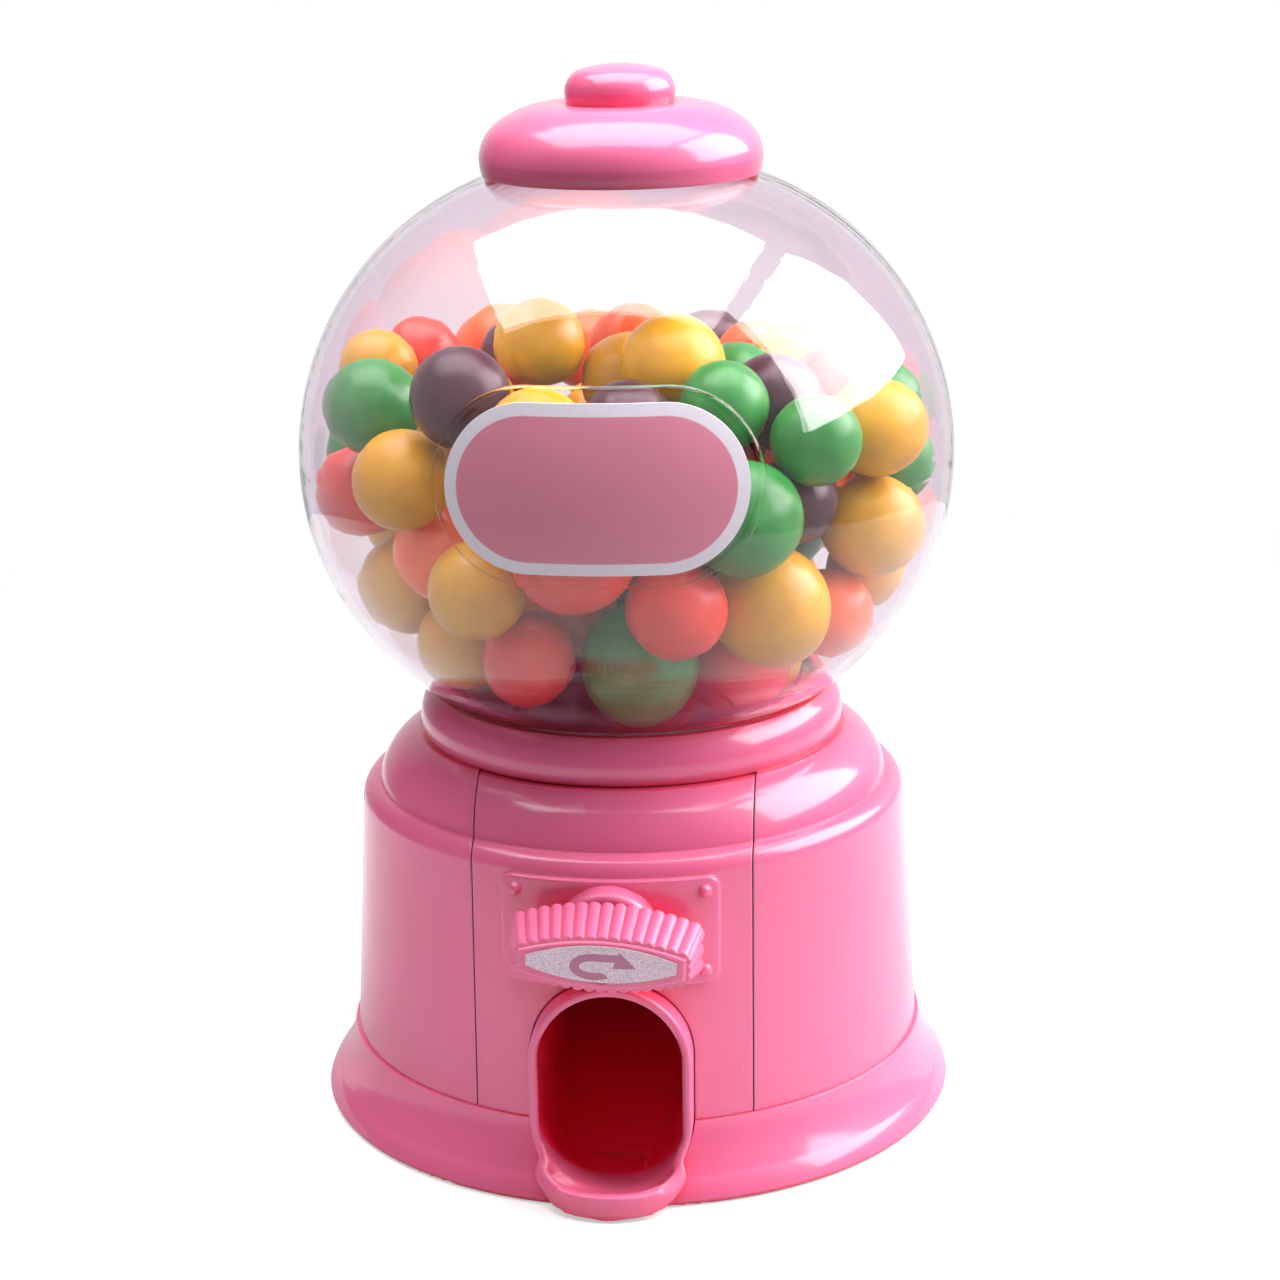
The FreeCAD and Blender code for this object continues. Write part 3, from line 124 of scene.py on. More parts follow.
def bump(tree, height, strength, distance, normal=None):
    inputs = {"Height": height, "Strength": strength, "Distance": distance}
    if normal is not None:
        inputs["Normal"] = normal
    return node(tree, "ShaderNodeBump", inputs).outputs[0]


def linear(red, green, blue):
    """A colour that is written as it looks on a screen, from 0 to 255, for a shader's socket."""

    def channel(value):
        share = value / 255
        return share / 12.92 if share <= 0.04045 else ((share + 0.055) / 1.055) ** 2.4

    return (channel(red), channel(green), channel(blue), 1.0)


def grey(level):
    return (level, level, level, 1.0)


# Materials

MOUTH_SHADE_SLOPE = 0.35
MOUTH_SHADE_DEPTH = (-36.7 * MM, -35.9 * MM)
MOUTH_RIM_BACK = (-40.7 * MM, -40.3 * MM)
MOUTH_INNER_REACH = (1.5 * MM, 0.5 * MM)
SPOUT_AXIS = (0.0, 0.0, 13 * MM)
SPOUT_GLOSS = (0.3, 0.36)
PINK_GLOSS = (0.12, 0.17)
PINK_BODY = (linear(236, 101, 148), linear(240, 107, 154))
# Painted highlight: the paler colour along rounded edges.
PINK_EDGE_HIGHLIGHT = linear(248, 150, 188)
# Painted shade: deep red in hollows, creases and under parts.
PINK_HOLLOW_SHADE = linear(244, 14, 56)
# Painted shade: deep red inside the spout, behind its mouth.
PINK_SPOUT_SHADE = linear(255, 20, 84)


def inside_spout(tree, place, normal):
    """How far a spot lies inside the spout, behind its mouth, on a face that looks towards its axis: where
    the painted shade goes.
    """
    parts = node(tree, "ShaderNodeSeparateXYZ", {0: place})
    slant = math_node(tree, "MULTIPLY", parts.outputs["Z"], MOUTH_SHADE_SLOPE)
    depth = math_node(tree, "ADD", parts.outputs["Y"], slant)
    behind = remap(tree, depth, MOUTH_SHADE_DEPTH)
    away = vector_node(tree, "SUBTRACT", place, SPOUT_AXIS)
    across = vector_node(tree, "MULTIPLY", away, (1.0, 0.0, 1.0))
    inner_face = remap(tree, dot_product(tree, across, normal), MOUTH_INNER_REACH)
    past_rim = remap(tree, parts.outputs["Y"], MOUTH_RIM_BACK)
    return math_node(tree, "MULTIPLY", math_node(tree, "MULTIPLY", behind, inner_face), past_rim)


def pink_plastic(name, spout=False):
    """Glossy moulded plastic with faint flow clouds, a painted highlight along its edges and painted shade,
    deeper red, in its hollows.
    """
    material, tree = new_material(name)
    place = object_place(tree)
    clouds = noise_at(tree, place, scale=38, detail=3.0)
    grain = noise_at(tree, place, scale=3600)
    rounded = node(tree, "ShaderNodeBevel", {"Radius": 0.35 * MM}, samples=4).outputs[0]
    plain = node(tree, "ShaderNodeNewGeometry").outputs["Normal"]
    # Painted highlight: paler colour along the rounded edges, found from the bevel normal.
    edge = remap(tree, dot_product(tree, rounded, plain), (0.995, 0.9), (0.0, 0.45))
    body = blend_colour(tree, remap(tree, clouds, (0.3, 0.7)), *PINK_BODY)
    pale = blend_colour(tree, edge, body, PINK_EDGE_HIGHLIGHT)
    # Painted shade: deeper red where the ambient occlusion finds hollows.
    open_air = node(tree, "ShaderNodeAmbientOcclusion", {"Distance": 11 * MM}, samples=4).outputs["AO"]
    hollow_shade = remap(tree, open_air, (0.7, 0.2), (0.0, 0.9))
    colour = blend_colour(tree, hollow_shade, pale, PINK_HOLLOW_SHADE)
    if spout:
        # Painted shade: deep red inside the spout, behind its mouth.
        colour = blend_colour(tree, inside_spout(tree, place, plain), colour, PINK_SPOUT_SHADE)
    principled(tree, {
        "Base Color": colour,
        "Roughness": remap(tree, grain, (0.25, 0.75), SPOUT_GLOSS if spout else PINK_GLOSS),
        "IOR": 1.5,
        "Normal": bump(tree, grain, strength=0.03, distance=0.01 * MM, normal=rounded),
        "Subsurface Weight": 0.25,
        "Subsurface Radius": (1.0, 0.25, 0.4),
        "Subsurface Scale": 1.5 * MM,
        "Coat Weight": 1.0,
        "Coat Roughness": 0.55,
    })
    return material


def inner_plastic():
    """Plain moulded plastic of the parts inside."""
    material, tree = new_material("inner_moulded_plastic")
    place = object_place(tree)
    clouds = noise_at(tree, place, scale=60, detail=3.0)
    grain = noise_at(tree, place, scale=1900)
    principled(tree, {
        "Base Color": blend_colour(tree, clouds, linear(232, 196, 208), linear(240, 214, 222)),
        "Roughness": remap(tree, grain, (0.25, 0.75), (0.4, 0.52)),
        "Normal": bump(tree, grain, strength=0.12, distance=0.06 * MM),
    })
    return material


def clear_plastic():
    """Clear moulded plastic, tinted more where it is seen along the wall, which lets lamps through."""
    material, tree = new_material("clear_moulded_plastic")
    place = object_place(tree)
    waves = noise_at(tree, place, scale=26, detail=1.0)
    slant = node(tree, "ShaderNodeLayerWeight", {"Blend": 0.35}).outputs["Facing"]
    thick = remap(tree, slant, (0.3, 0.92))
    face = blend_colour(tree, waves, linear(250, 241, 248), linear(252, 245, 250))
    clear = node(tree, "ShaderNodeBsdfPrincipled", {
        "Base Color": blend_colour(tree, thick, face, linear(224, 190, 216)),
        "Roughness": 0.01,
        "IOR": 1.47,
        "Transmission Weight": 1.0,
        "Normal": bump(tree, waves, strength=0.05, distance=0.4 * MM),
    })
    through = node(tree, "ShaderNodeBsdfTransparent", {"Color": linear(232, 220, 228)})
    shadow = node(tree, "ShaderNodeLightPath").outputs["Is Shadow Ray"]
    mixed = node(tree, "ShaderNodeMixShader", {0: shadow, 1: clear.outputs[0], 2: through.outputs[0]})
    finish_material(tree, mixed.outputs[0])
    return material


LABEL_BORDER = 1.5 * MM
LABEL_SOFT = 0.08 * MM


def label_paper():
    """Printed label: a pale border round a bare rose field, with fine paper grain."""
    material, tree = new_material("printed_label")
    place = object_place(tree)
    low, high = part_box("globe_label")
    half_height = (high[2] - low[2]) / 2
    half_run = (high[0] - low[0]) / 2 - half_height
    middle_z = (low[2] + high[2]) / 2
    parts = node(tree, "ShaderNodeSeparateXYZ", {0: place})
    away = math_node(tree, "ABSOLUTE", parts.outputs["X"])
    past_end = math_node(tree, "MAXIMUM", math_node(tree, "SUBTRACT", away, half_run), 0.0)
    rise = math_node(tree, "SUBTRACT", parts.outputs["Z"], middle_z)
    spot = node(tree, "ShaderNodeCombineXYZ", {"X": past_end, "Y": rise}).outputs[0]
    reach = node(tree, "ShaderNodeVectorMath", {0: spot}, operation="LENGTH").outputs["Value"]
    field_edge = half_height - LABEL_BORDER
    in_field = remap(tree, reach, (field_edge + LABEL_SOFT, field_edge - LABEL_SOFT))
    grain = noise_at(tree, place, scale=2400, detail=3.0)
    clouds = noise_at(tree, place, scale=90)
    border = blend_colour(tree, grain, linear(219, 210, 222), linear(231, 223, 233))
    rose = blend_colour(tree, clouds, linear(211, 128, 151), linear(219, 135, 158))
    principled(tree, {
        "Base Color": blend_colour(tree, in_field, border, rose),
        "Roughness": remap(tree, grain, (0.25, 0.75), (0.34, 0.46)),
        "Normal": bump(tree, grain, strength=0.05, distance=0.03 * MM),
    })
    return material


def silver_film():
    """Silvery film with a coarse sparkling grain."""
    material, tree = new_material("silver_grained_film")
    grain = noise_at(tree, object_place(tree), scale=6500, roughness=0.7)
    speck = remap(tree, grain, (0.36, 0.62))
    principled(tree, {
        "Base Color": blend_colour(tree, speck, linear(192, 168, 181), linear(236, 213, 226)),
        "Metallic": 0.25,
        "Roughness": remap(tree, grain, (0.3, 0.7), (0.5, 0.34)),
        "Normal": bump(tree, grain, strength=0.35, distance=0.05 * MM),
    })
    return material


def printed_ink():
    """Mauve ink on the silvery film, whose grain shows through a little."""
    material, tree = new_material("mauve_ink")
    grain = noise_at(tree, object_place(tree), scale=5200, roughness=0.7)
    principled(tree, {
        "Base Color": blend_colour(tree, grain, linear(176, 108, 136), linear(198, 128, 154)),
        "Roughness": 0.45,
        "Normal": bump(tree, grain, strength=0.2, distance=0.03 * MM),
    })
    return material


def screw_steel():
    """Zinc-plated steel with fine turning marks."""
    material, tree = new_material("zinc_plated_steel")
    place = object_place(tree)
    stretched = node(tree, "ShaderNodeMapping", {"Vector": place, "Scale": (1.0, 1.0, 14.0)}).outputs[0]
    marks = noise_at(tree, stretched, scale=900, detail=3.0)
    stain = noise_at(tree, place, scale=260, detail=3.0)
    principled(tree, {
        "Base Color": blend_colour(tree, stain, linear(188, 188, 192), linear(214, 212, 206)),
        "Metallic": 1.0,
        "Roughness": remap(tree, marks, (0.25, 0.75), (0.24, 0.42)),
        "Normal": bump(tree, marks, strength=0.15, distance=0.03 * MM),
    })
    return material


def candy(name, deep, pale):
    """A satin sugar shell: cloudy colour, a fine dusty gloss, and a skin that is not quite even."""
    material, tree = new_material(name)
    place = object_place(tree)
    clouds = noise_at(tree, place, scale=210, detail=3.0, roughness=0.6)
    dust = noise_at(tree, place, scale=900, detail=4.0, roughness=0.65)
    lumps = bump(tree, clouds, strength=0.2, distance=0.35 * MM)
    principled(tree, {
        "Base Color": blend_colour(tree, remap(tree, clouds, (0.3, 0.72)), deep, pale),
        "Roughness": remap(tree, dust, (0.3, 0.7), (0.28, 0.4)),
        "Normal": bump(tree, dust, strength=0.04, distance=0.06 * MM, normal=lumps),
        "Subsurface Weight": 0.08,
        "Subsurface Radius": (1.0, 0.8, 0.6),
        "Subsurface Scale": 0.8 * MM,
        "Coat Weight": 0.15,
        "Coat Roughness": 0.3,
    })
    return material


CANDY_COLOURS = {
    "red": (linear(218, 50, 32), linear(232, 72, 44)),
    "orange": (linear(236, 92, 24), linear(246, 114, 38)),
    "yellow": (linear(204, 154, 0), linear(220, 174, 4)),
    "green": (linear(26, 124, 42), linear(52, 152, 64)),
    "purple": (linear(54, 27, 34), linear(74, 41, 48)),
}


def dress(name, material):
    """Give a node of the part a material."""
    mesh = nodes[name].data
    mesh.materials.clear()
    mesh.materials.append(material)


pink = pink_plastic("pink_moulded_plastic")
inner = inner_plastic()
steel = screw_steel()
for part in ("base_skirt", "bottom_cover", "body_shell", "front_panel", "dial_knob", "lid"):
    dress(part, pink)
for part in ("hopper", "drum_housing", "dispensing_drum"):
    dress(part, inner)
for part in ("cover_screws", "chute_screws", "housing_screws", "dial_screw"):
    dress(part, steel)
dress("globe", clear_plastic())
dress("globe_label", label_paper())


# Piece helpers

def add_piece(name, mesh, material, body):
    """Put a mesh into the scene as a piece that rides a body of the part."""
    piece = bpy.data.objects.new(name, mesh)
    bpy.context.scene.collection.objects.link(piece)
    mesh.materials.append(material)
    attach(piece, body)
    return piece


def mesh_from(form, name):
    """Turn a form into a mesh and free the form."""
    mesh = bpy.data.meshes.new(name)
    form.to_mesh(mesh)
    form.free()
    return mesh


def share_between(value, start, end):
    """A smooth share from 0 at the start to 1 at the end."""
    share = min(1.0, max(0.0, (value - start) / (end - start)))
    return share * share * (3 - 2 * share)


# Gumballs

SMALLEST_BALL = 5 * MM
BALL_DIVISIONS = 4
BALL_UNEVEN = 0.05
LUMP_SHARE = 0.55
FLAT_SHARE = 0.45
LUMPS_PER_RADIUS = 1.3
SEED_SPREAD = 900
SEED_STEP = (7.3, 3.1, 5.7)
NOISE_SEED = 11


def ball_places(name):
    """The centre and radius of each ball in a node, from the connected parts of its mesh."""
    mesh = nodes[name].data
    spots = np.empty(len(mesh.vertices) * 3)
    mesh.vertices.foreach_get("co", spots)
    spots = spots.reshape(-1, 3)
    edges = np.empty(len(mesh.edges) * 2, dtype=int)
    mesh.edges.foreach_get("vertices", edges)
    edges = edges.reshape(-1, 2)
    label = np.arange(len(spots))
    while True:
        lowest = np.minimum(label[edges[:, 0]], label[edges[:, 1]])
        before = label.copy()
        np.minimum.at(label, edges[:, 0], lowest)
        np.minimum.at(label, edges[:, 1], lowest)
        label = label[label]
        if np.array_equal(label, before):
            break
    found = []
    for number in np.unique(label):
        part = spots[label == number]
        low, high = part.min(axis=0), part.max(axis=0)
        across = (high - low).max()
        if across > SMALLEST_BALL:
            found.append(((low + high) / 2, across / 2))
    return found


def gumball_mesh(name, places):
    """Balls that are a little uneven and flattened, and nowhere larger than the places that they fill."""
    form = bmesh.new()
    for number, (centre, radius) in enumerate(places):
        made = bmesh.ops.create_icosphere(form, subdivisions=BALL_DIVISIONS, radius=1.0)
        seed = Vector(centre) * SEED_SPREAD + Vector([number * step for step in SEED_STEP])
        axis = noise.noise_vector(seed).normalized()
        for vertex in made["verts"]:
            way = vertex.co.normalized()
            lumps = noise.noise(way * LUMPS_PER_RADIUS + seed) * 0.5 + 0.5
            flat = way.dot(axis) ** 2
            share = 1 - BALL_UNEVEN * (LUMP_SHARE * lumps + FLAT_SHARE * flat)
            vertex.co = Vector(centre) + way * radius * share
    mesh = mesh_from(form, name)
    mesh.shade_smooth()
    return mesh


# Without a seed of its own, noise_vector is offset by the clock.
noise.seed_set(NOISE_SEED)
for colour, (deep, pale) in CANDY_COLOURS.items():
    source = f"gumballs_{colour}"
    shells = gumball_mesh(f"{source}_sugar_shells", ball_places(source))
    piece = add_piece(f"{source}_sugar_shells", shells, candy(f"{colour}_sugar_shell", deep, pale), "housing")
    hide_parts(source)


# Scoop of the chute

SCOOP_MERGE = 0.001 * MM
SCOOP_FINENESS = 0.8 * MM
SCOOP_PASSES = 5
SCOOP_TOP = 10.85 * MM
SCOOP_RADIUS = 10.45 * MM
SCOOP_LARGEST_DROP = 0.98
SCOOP_START = -40.95 * MM
SCOOP_FULL = -42.5 * MM
SCOOP_PLAN_CENTRE = -35.4 * MM
SCOOP_PLAN_RADIUS = 12.0 * MM
SCOOP_SQUARENESS = 3.6
SCOOP_SHARP_ANGLE = math.radians(32)


def scoop_place(spot):
    """Widen the foot of the spout in front of the skirt, so that its walls stand upright round the lip."""
    full = share_between(spot.y, SCOOP_START, SCOOP_FULL)
    drop = min(SCOOP_LARGEST_DROP, max(0.0, (SCOOP_TOP - spot.z) / SCOOP_RADIUS))
    if full == 0 or drop == 0:
        return spot
    round_half = SCOOP_RADIUS * math.sqrt(1 - drop * drop)
    upright_half = SCOOP_RADIUS * (1 - drop ** SCOOP_SQUARENESS) ** (1 / SCOOP_SQUARENESS)
    run = spot.y - SCOOP_PLAN_CENTRE
    plan_half = math.sqrt(max(0.0, SCOOP_PLAN_RADIUS ** 2 - run * run))
    wide_half = max(round_half, min(upright_half, plan_half))
    stretch = 1 + (wide_half / round_half - 1) * full
    return Vector((spot.x * stretch, spot.y, spot.z))


def scoop_mesh(name):
    """The chute with a wide scoop: the solid's own faces, made finer round the lip and widened there."""
    form = bmesh.new()
    form.from_mesh(nodes["chute"].data)
    bmesh.ops.remove_doubles(form, verts=form.verts, dist=SCOOP_MERGE)
    for _ in range(SCOOP_PASSES):
        coarse = []
        for edge in form.edges:
            near = min(vertex.co.y for vertex in edge.verts) < SCOOP_START
            low = min(vertex.co.z for vertex in edge.verts) < SCOOP_TOP
            if near and low and edge.calc_length() > SCOOP_FINENESS:
                coarse.append(edge)
        if not coarse:
            break
        bmesh.ops.subdivide_edges(form, edges=coarse, cuts=1)
        bmesh.ops.triangulate(form, faces=form.faces)
    for vertex in form.verts:
        vertex.co = scoop_place(vertex.co)
    bmesh.ops.recalc_face_normals(form, faces=form.faces)
    mesh = mesh_from(form, name)
    mesh.shade_smooth()
    mesh.set_sharp_from_angle(angle=SCOOP_SHARP_ANGLE)
    return mesh


spout_pink = pink_plastic("spout_moulded_plastic", spout=True)
scoop = add_piece("chute_scoop", scoop_mesh("chute_scoop"), spout_pink, "housing")
evened = scoop.modifiers.new("even_shading", "WEIGHTED_NORMAL")
evened.keep_sharp = True
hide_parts("chute")


# Rivet heads at the left of the dial plate

RIVET_RADIUS = 0.88 * MM
RIVET_SPOTS = [(-12 * MM, -36.4 * MM, 30.2 * MM), (-12 * MM, -35.75 * MM, 40.6 * MM)]
RIVET_SEGMENTS = 28
RIVET_RINGS = 12
RIVET_SPREAD = math.radians(108)
RIVET_FOOT = 0.12
RIVET_FOOT_START = math.radians(62)
RIVET_FOOT_END = math.radians(84)


def rivet_mesh(name):
    """Moulded rivet heads: domes that run out into the plate in a soft foot."""
    form = bmesh.new()
    for spot in RIVET_SPOTS:
        centre = Vector(spot)
        out = Vector((spot[0], spot[1], 0)).normalized()
        side = out.cross(Vector((0, 0, 1))).normalized()
        rise = side.cross(out)
        loops = []
        for ring in range(1, RIVET_RINGS + 1):
            angle = RIVET_SPREAD * ring / RIVET_RINGS
            foot = 1 + RIVET_FOOT * share_between(angle, RIVET_FOOT_START, RIVET_FOOT_END)
            reach = RIVET_RADIUS * math.sin(angle) * foot
            height = RIVET_RADIUS * math.cos(angle)
            loop = []
            for step in range(RIVET_SEGMENTS):
                turn = math.tau * step / RIVET_SEGMENTS
                along = side * math.cos(turn) + rise * math.sin(turn)
                loop.append(form.verts.new(centre + out * height + along * reach))
            loops.append(loop)
        top = form.verts.new(centre + out * RIVET_RADIUS)
        for step in range(RIVET_SEGMENTS):
            after = (step + 1) % RIVET_SEGMENTS
            form.faces.new((top, loops[0][step], loops[0][after]))
            for inner_loop, outer_loop in zip(loops, loops[1:]):
                form.faces.new((inner_loop[step], outer_loop[step], outer_loop[after], inner_loop[after]))
        form.faces.new(loops[-1][::-1])
    bmesh.ops.recalc_face_normals(form, faces=form.faces)
    mesh = mesh_from(form, name)
    mesh.shade_smooth()
    return mesh


rivets = add_piece("dial_plate_rivets_left", rivet_mesh("dial_plate_rivets_left"), pink, "housing")


# Dial sticker with its turn arrow. Outlines are in millimetres from the sticker's middle.

DIAL_TURN = math.radians(3)
STICKER_SUNK = 0.02 * MM
STICKER_SEAT = 0.05 * MM
STICKER_HALF_WIDTH = 9.29
STICKER_HALF_HEIGHT = 2.39
STICKER_END_HALF_HEIGHT = 0.7
STICKER_STEPS = 32
ARROW_SUNK = 0.005 * MM
ARROW_MIDDLE = (-0.9, -0.36)
ARROW_OUTER_HALF = (2.97, 1.72)
ARROW_INNER_HALF = (1.78, 0.76)
ARROW_START = math.radians(-52)
ARROW_END = math.radians(-270)
ARROW_STEPS = 40
ARROW_TAIL_THICKNESS = 0.7
ARROW_TAIL_GROWTH = 4
ARROW_HEAD = [(2.08, 1.36), (2.2, 1.74), (4.35, -0.3), (1.43, -0.46), (1.7, 0.4)]

sticker_low, sticker_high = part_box("dial_sticker")
sticker_front = sticker_low[1]
sticker_back = sticker_high[1]
sticker_middle = Vector((
    (sticker_low[0] + sticker_high[0]) / 2,
    0,
    (sticker_low[2] + sticker_high[2]) / 2,
))


def flat_mesh(name, outline, front, back):
    """A thin slab with an outline of (across, up) places from the sticker's middle in millimetres."""
    turn = Matrix.Rotation(DIAL_TURN, 3, "Y")
    spots = [turn @ Vector((across * MM, 0, up * MM)) + sticker_middle for across, up in outline]
    form = bmesh.new()
    rings = [[form.verts.new((spot.x, depth, spot.z)) for spot in spots] for depth in (front, back)]
    flat = [Vector((across, up, 0)) for across, up in outline]
    for ring in rings:
        for corners in geometry.tessellate_polygon([flat]):
            form.faces.new([ring[corner] for corner in corners])
    count = len(outline)
    for index in range(count):
        following = (index + 1) % count
        form.faces.new((rings[0][following], rings[0][index], rings[1][index], rings[1][following]))
    bmesh.ops.recalc_face_normals(form, faces=form.faces)
    return mesh_from(form, name)


def lens_outline():
    """A lens with cut ends, run round once."""
    rise = STICKER_HALF_HEIGHT - STICKER_END_HALF_HEIGHT
    radius = (STICKER_HALF_WIDTH * STICKER_HALF_WIDTH + rise * rise) / (2 * rise)
    spread = math.asin(STICKER_HALF_WIDTH / radius)
    upper = []
    for step in range(STICKER_STEPS + 1):
        angle = spread * (2 * step / STICKER_STEPS - 1)
        upper.append((radius * math.sin(angle), STICKER_HALF_HEIGHT - radius + radius * math.cos(angle)))
    return upper + [(-across, -up) for across, up in upper]


def arrow_outline():
    """A turn arrow: a bent shaft, a little thinner at its tail, that runs round to the left, and its head."""
    middle_across, middle_up = ARROW_MIDDLE
    outer_across, outer_up = ARROW_OUTER_HALF
    inner_across, inner_up = ARROW_INNER_HALF
    outside = []
    inside = []
    for step in range(ARROW_STEPS + 1):
        share = step / ARROW_STEPS
        angle = ARROW_START + (ARROW_END - ARROW_START) * share
        full = min(1.0, share * ARROW_TAIL_GROWTH + ARROW_TAIL_THICKNESS)
        across, up = math.cos(angle), math.sin(angle)
        half_across = outer_across + (inner_across - outer_across) * full
        half_up = outer_up + (inner_up - outer_up) * full
        outside.append((middle_across + across * outer_across, middle_up + up * outer_up))
        inside.append((middle_across + across * half_across, middle_up + up * half_up))
    return outside + ARROW_HEAD + inside[::-1]


film = flat_mesh("dial_sticker_film", lens_outline(), sticker_front + STICKER_SUNK, sticker_back)
film_piece = add_piece("dial_sticker_film", film, silver_film(), "dial")
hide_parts("dial_sticker")
arrow_back = sticker_front + 2 * STICKER_SUNK
arrow = flat_mesh("dial_turn_arrow", arrow_outline(), sticker_front + ARROW_SUNK, arrow_back)
arrow_piece = add_piece("dial_turn_arrow", arrow, printed_ink(), "dial")


# Cap in the screw seat under the sticker

CAP_RADIUS = 2.38 * MM
CAP_CHAMFER = 0.04 * MM
CAP_SUNK = 0.015 * MM
CAP_BACK = 0.08 * MM
CAP_SEGMENTS = 72
DIAL_AXIS_Z = 35.4 * MM


def cap_mesh(name):
    """A thin disc with a chamfered front edge, just behind the dial's face."""
    face = sticker_back + STICKER_SEAT
    profile = [
        (CAP_RADIUS - CAP_CHAMFER, face + CAP_SUNK),
        (CAP_RADIUS, face + CAP_SUNK + CAP_CHAMFER / 2),
        (CAP_RADIUS, face + CAP_BACK),
    ]
    form = bmesh.new()
    loops = []
    for reach, depth in profile:
        loop = []
        for step in range(CAP_SEGMENTS):
            turn = math.tau * step / CAP_SEGMENTS
            spot = (reach * math.cos(turn), depth, DIAL_AXIS_Z + reach * math.sin(turn))
            loop.append(form.verts.new(spot))
        loops.append(loop)
    for front_loop, back_loop in zip(loops, loops[1:]):
        for step in range(CAP_SEGMENTS):
            after = (step + 1) % CAP_SEGMENTS
            form.faces.new((front_loop[step], front_loop[after], back_loop[after], back_loop[step]))
    form.faces.new(loops[0])
    form.faces.new(loops[-1])
    bmesh.ops.recalc_face_normals(form, faces=form.faces)
    return mesh_from(form, name)


cap = add_piece("dial_screw_cap", cap_mesh("dial_screw_cap"), pink, "dial")


# Table

WHITE = grey(1.0)
TABLE_RADIUS = 0.3
TABLE_SEGMENTS = 128
TABLE_GREYS = (grey(0.59), grey(0.61))
TABLE_LIFT = 0.48
TABLE_THROUGH_GLOBE = 0.95
TABLE_DROP = 0.02 * MM


def table():
    """A white table top that reads as pure white in the open and keeps the machine's shadow."""
    form = bmesh.new()
    bmesh.ops.create_circle(form, cap_ends=True, radius=TABLE_RADIUS, segments=TABLE_SEGMENTS)
    mesh = mesh_from(form, "table_top")
    top = bpy.data.objects.new("table_top", mesh)
    bpy.context.scene.collection.objects.link(top)
    material, tree = new_material("white_table")
    grain = noise_at(tree, object_place(tree), scale=120, detail=3.0)
    lit = node(tree, "ShaderNodeBsdfDiffuse", {"Color": blend_colour(tree, grain, *TABLE_GREYS)})
    path = node(tree, "ShaderNodeLightPath")
    lift = math_node(tree, "MULTIPLY", path.outputs["Is Camera Ray"], TABLE_LIFT)
    glow = node(tree, "ShaderNodeEmission", {"Color": WHITE, "Strength": lift})
    open_white = node(tree, "ShaderNodeAddShader", {0: lit.outputs[0], 1: glow.outputs[0]})
    through = node(tree, "ShaderNodeEmission", {"Color": WHITE, "Strength": TABLE_THROUGH_GLOBE})
    clear = path.outputs["Is Transmission Ray"]
    whole = node(tree, "ShaderNodeMixShader", {0: clear, 1: open_white.outputs[0], 2: through.outputs[0]})
    finish_material(tree, whole.outputs[0])
    mesh.materials.append(material)
    top.location.z = -TABLE_DROP


table()


# Light

def softbox(name, place, aim, size, power):
    """A rectangular lamp that the camera doesn't see."""
    lamp = bpy.data.lights.new(name, "AREA")
    lamp.shape = "RECTANGLE"
    lamp.size, lamp.size_y = size
    lamp.energy = power
    item = bpy.data.objects.new(name, lamp)
    item.location = place
    item.rotation_euler = (Vector(aim) - Vector(place)).to_track_quat("-Z", "Y").to_euler()
    item.visible_camera = False
    bpy.context.scene.collection.objects.link(item)


softbox("overhead_softbox", place=(-0.03, 0.025, 0.59), aim=(-0.03, 0.025, 0.0), size=(0.65, 0.49), power=5.6)
softbox("right_softbox", place=(0.8, 0.205, 0.73), aim=(0.0, 0.205, 0.73), size=(0.99, 0.92), power=25.5)

FILL_WAY = Vector((-0.72, -0.15, 0.68)).normalized()
FILL_SPAN = (0.3, 0.9)
DIM_LIGHT = (0.035, 0.035, 0.037, 1.0)
FILL_LIGHT = (0.3, 0.3, 0.31, 1.0)
BEHIND_SPAN = (0.6, 0.95)
MIRRORED_FRONT = (0.05, 0.05, 0.055, 1.0)
MIRRORED_BEHIND = grey(0.85)


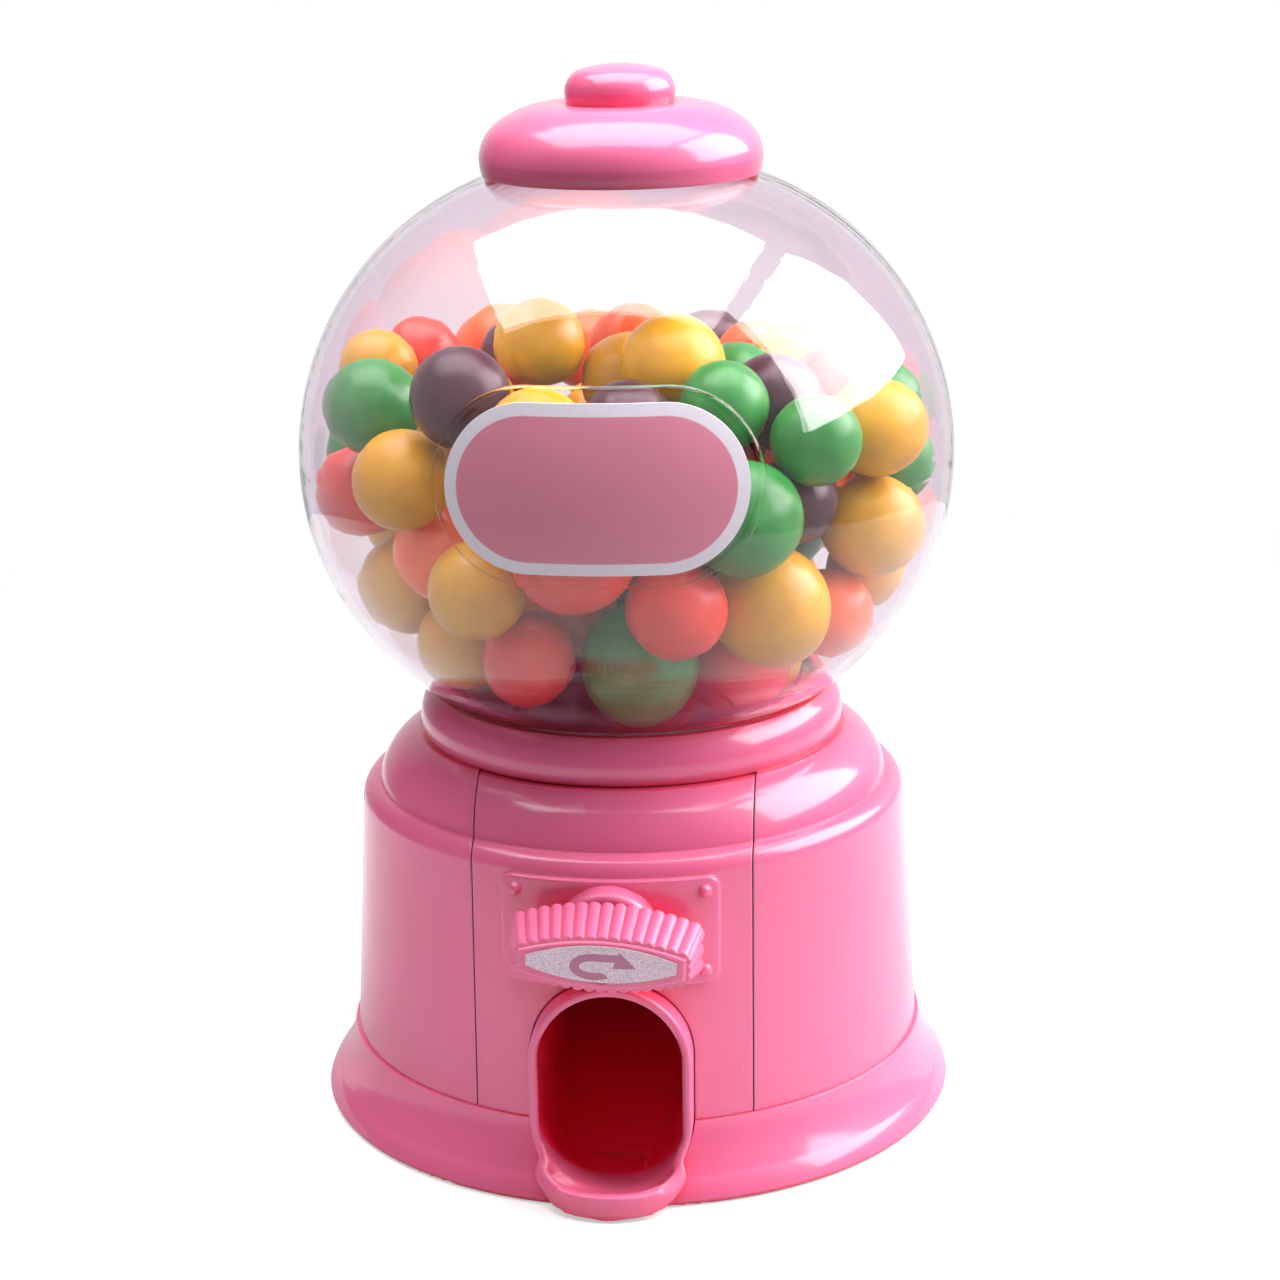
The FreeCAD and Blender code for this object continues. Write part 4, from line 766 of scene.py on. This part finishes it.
def surroundings():
    """White to the camera and through the globe, soft light all round, more from the upper left."""
    world = bpy.data.worlds.new("studio")
    world.use_nodes = True
    tree = world.node_tree
    tree.nodes.clear()
    way = node(tree, "ShaderNodeTexCoord").outputs["Generated"]
    depth = node(tree, "ShaderNodeSeparateXYZ", {0: way}).outputs["Y"]
    behind = remap(tree, depth, BEHIND_SPAN)
    mirrored = blend_colour(tree, behind, MIRRORED_FRONT, MIRRORED_BEHIND)
    fill = remap(tree, dot_product(tree, way, FILL_WAY), FILL_SPAN)
    around = blend_colour(tree, fill, DIM_LIGHT, FILL_LIGHT)
    path = node(tree, "ShaderNodeLightPath")
    soft = blend_colour(tree, path.outputs["Is Glossy Ray"], around, mirrored)
    seen = math_node(tree, "MAXIMUM", path.outputs["Is Camera Ray"], path.outputs["Is Transmission Ray"])
    colour = blend_colour(tree, seen, soft, WHITE)
    light = node(tree, "ShaderNodeBackground", {"Color": colour, "Strength": 1.0})
    node(tree, "ShaderNodeOutputWorld", {"Surface": light.outputs[0]})
    bpy.context.scene.world = world


surroundings()


# Camera

CAMERA_AZIMUTH = math.radians(5.2)
CAMERA_DISTANCE = 0.37454
CAMERA_HEIGHT = 0.17231
CAMERA_PITCH = 0.2843
CAMERA_YAW = 0.0035
CAMERA_ROLL = -0.0182
CAMERA_LENS = 80.82
CAMERA_SENSOR = 36
CAMERA_NEAR = 0.01


def camera():
    """The camera where the photograph's was, fitted to the outline and the seams."""
    level = math.cos(CAMERA_PITCH)
    forward = Vector((math.sin(CAMERA_YAW) * level, math.cos(CAMERA_YAW) * level, -math.sin(CAMERA_PITCH)))
    right = forward.cross(Vector((0, 0, 1))).normalized()
    up = right.cross(forward)
    turned_right = right * math.cos(CAMERA_ROLL) + up * math.sin(CAMERA_ROLL)
    turned_up = up * math.cos(CAMERA_ROLL) - right * math.sin(CAMERA_ROLL)
    matrix = Matrix((turned_right, turned_up, -forward)).transposed().to_4x4()
    matrix.translation = Vector((0, -CAMERA_DISTANCE, CAMERA_HEIGHT))
    lens = bpy.data.cameras.new("camera")
    lens.lens = CAMERA_LENS
    lens.sensor_width = CAMERA_SENSOR
    lens.sensor_fit = "HORIZONTAL"
    lens.clip_start = CAMERA_NEAR
    item = bpy.data.objects.new("camera", lens)
    item.matrix_world = Matrix.Rotation(CAMERA_AZIMUTH, 4, "Z") @ matrix
    bpy.context.scene.collection.objects.link(item)
    bpy.context.scene.camera = item


camera()
bpy.context.scene.view_settings.view_transform = "Standard"
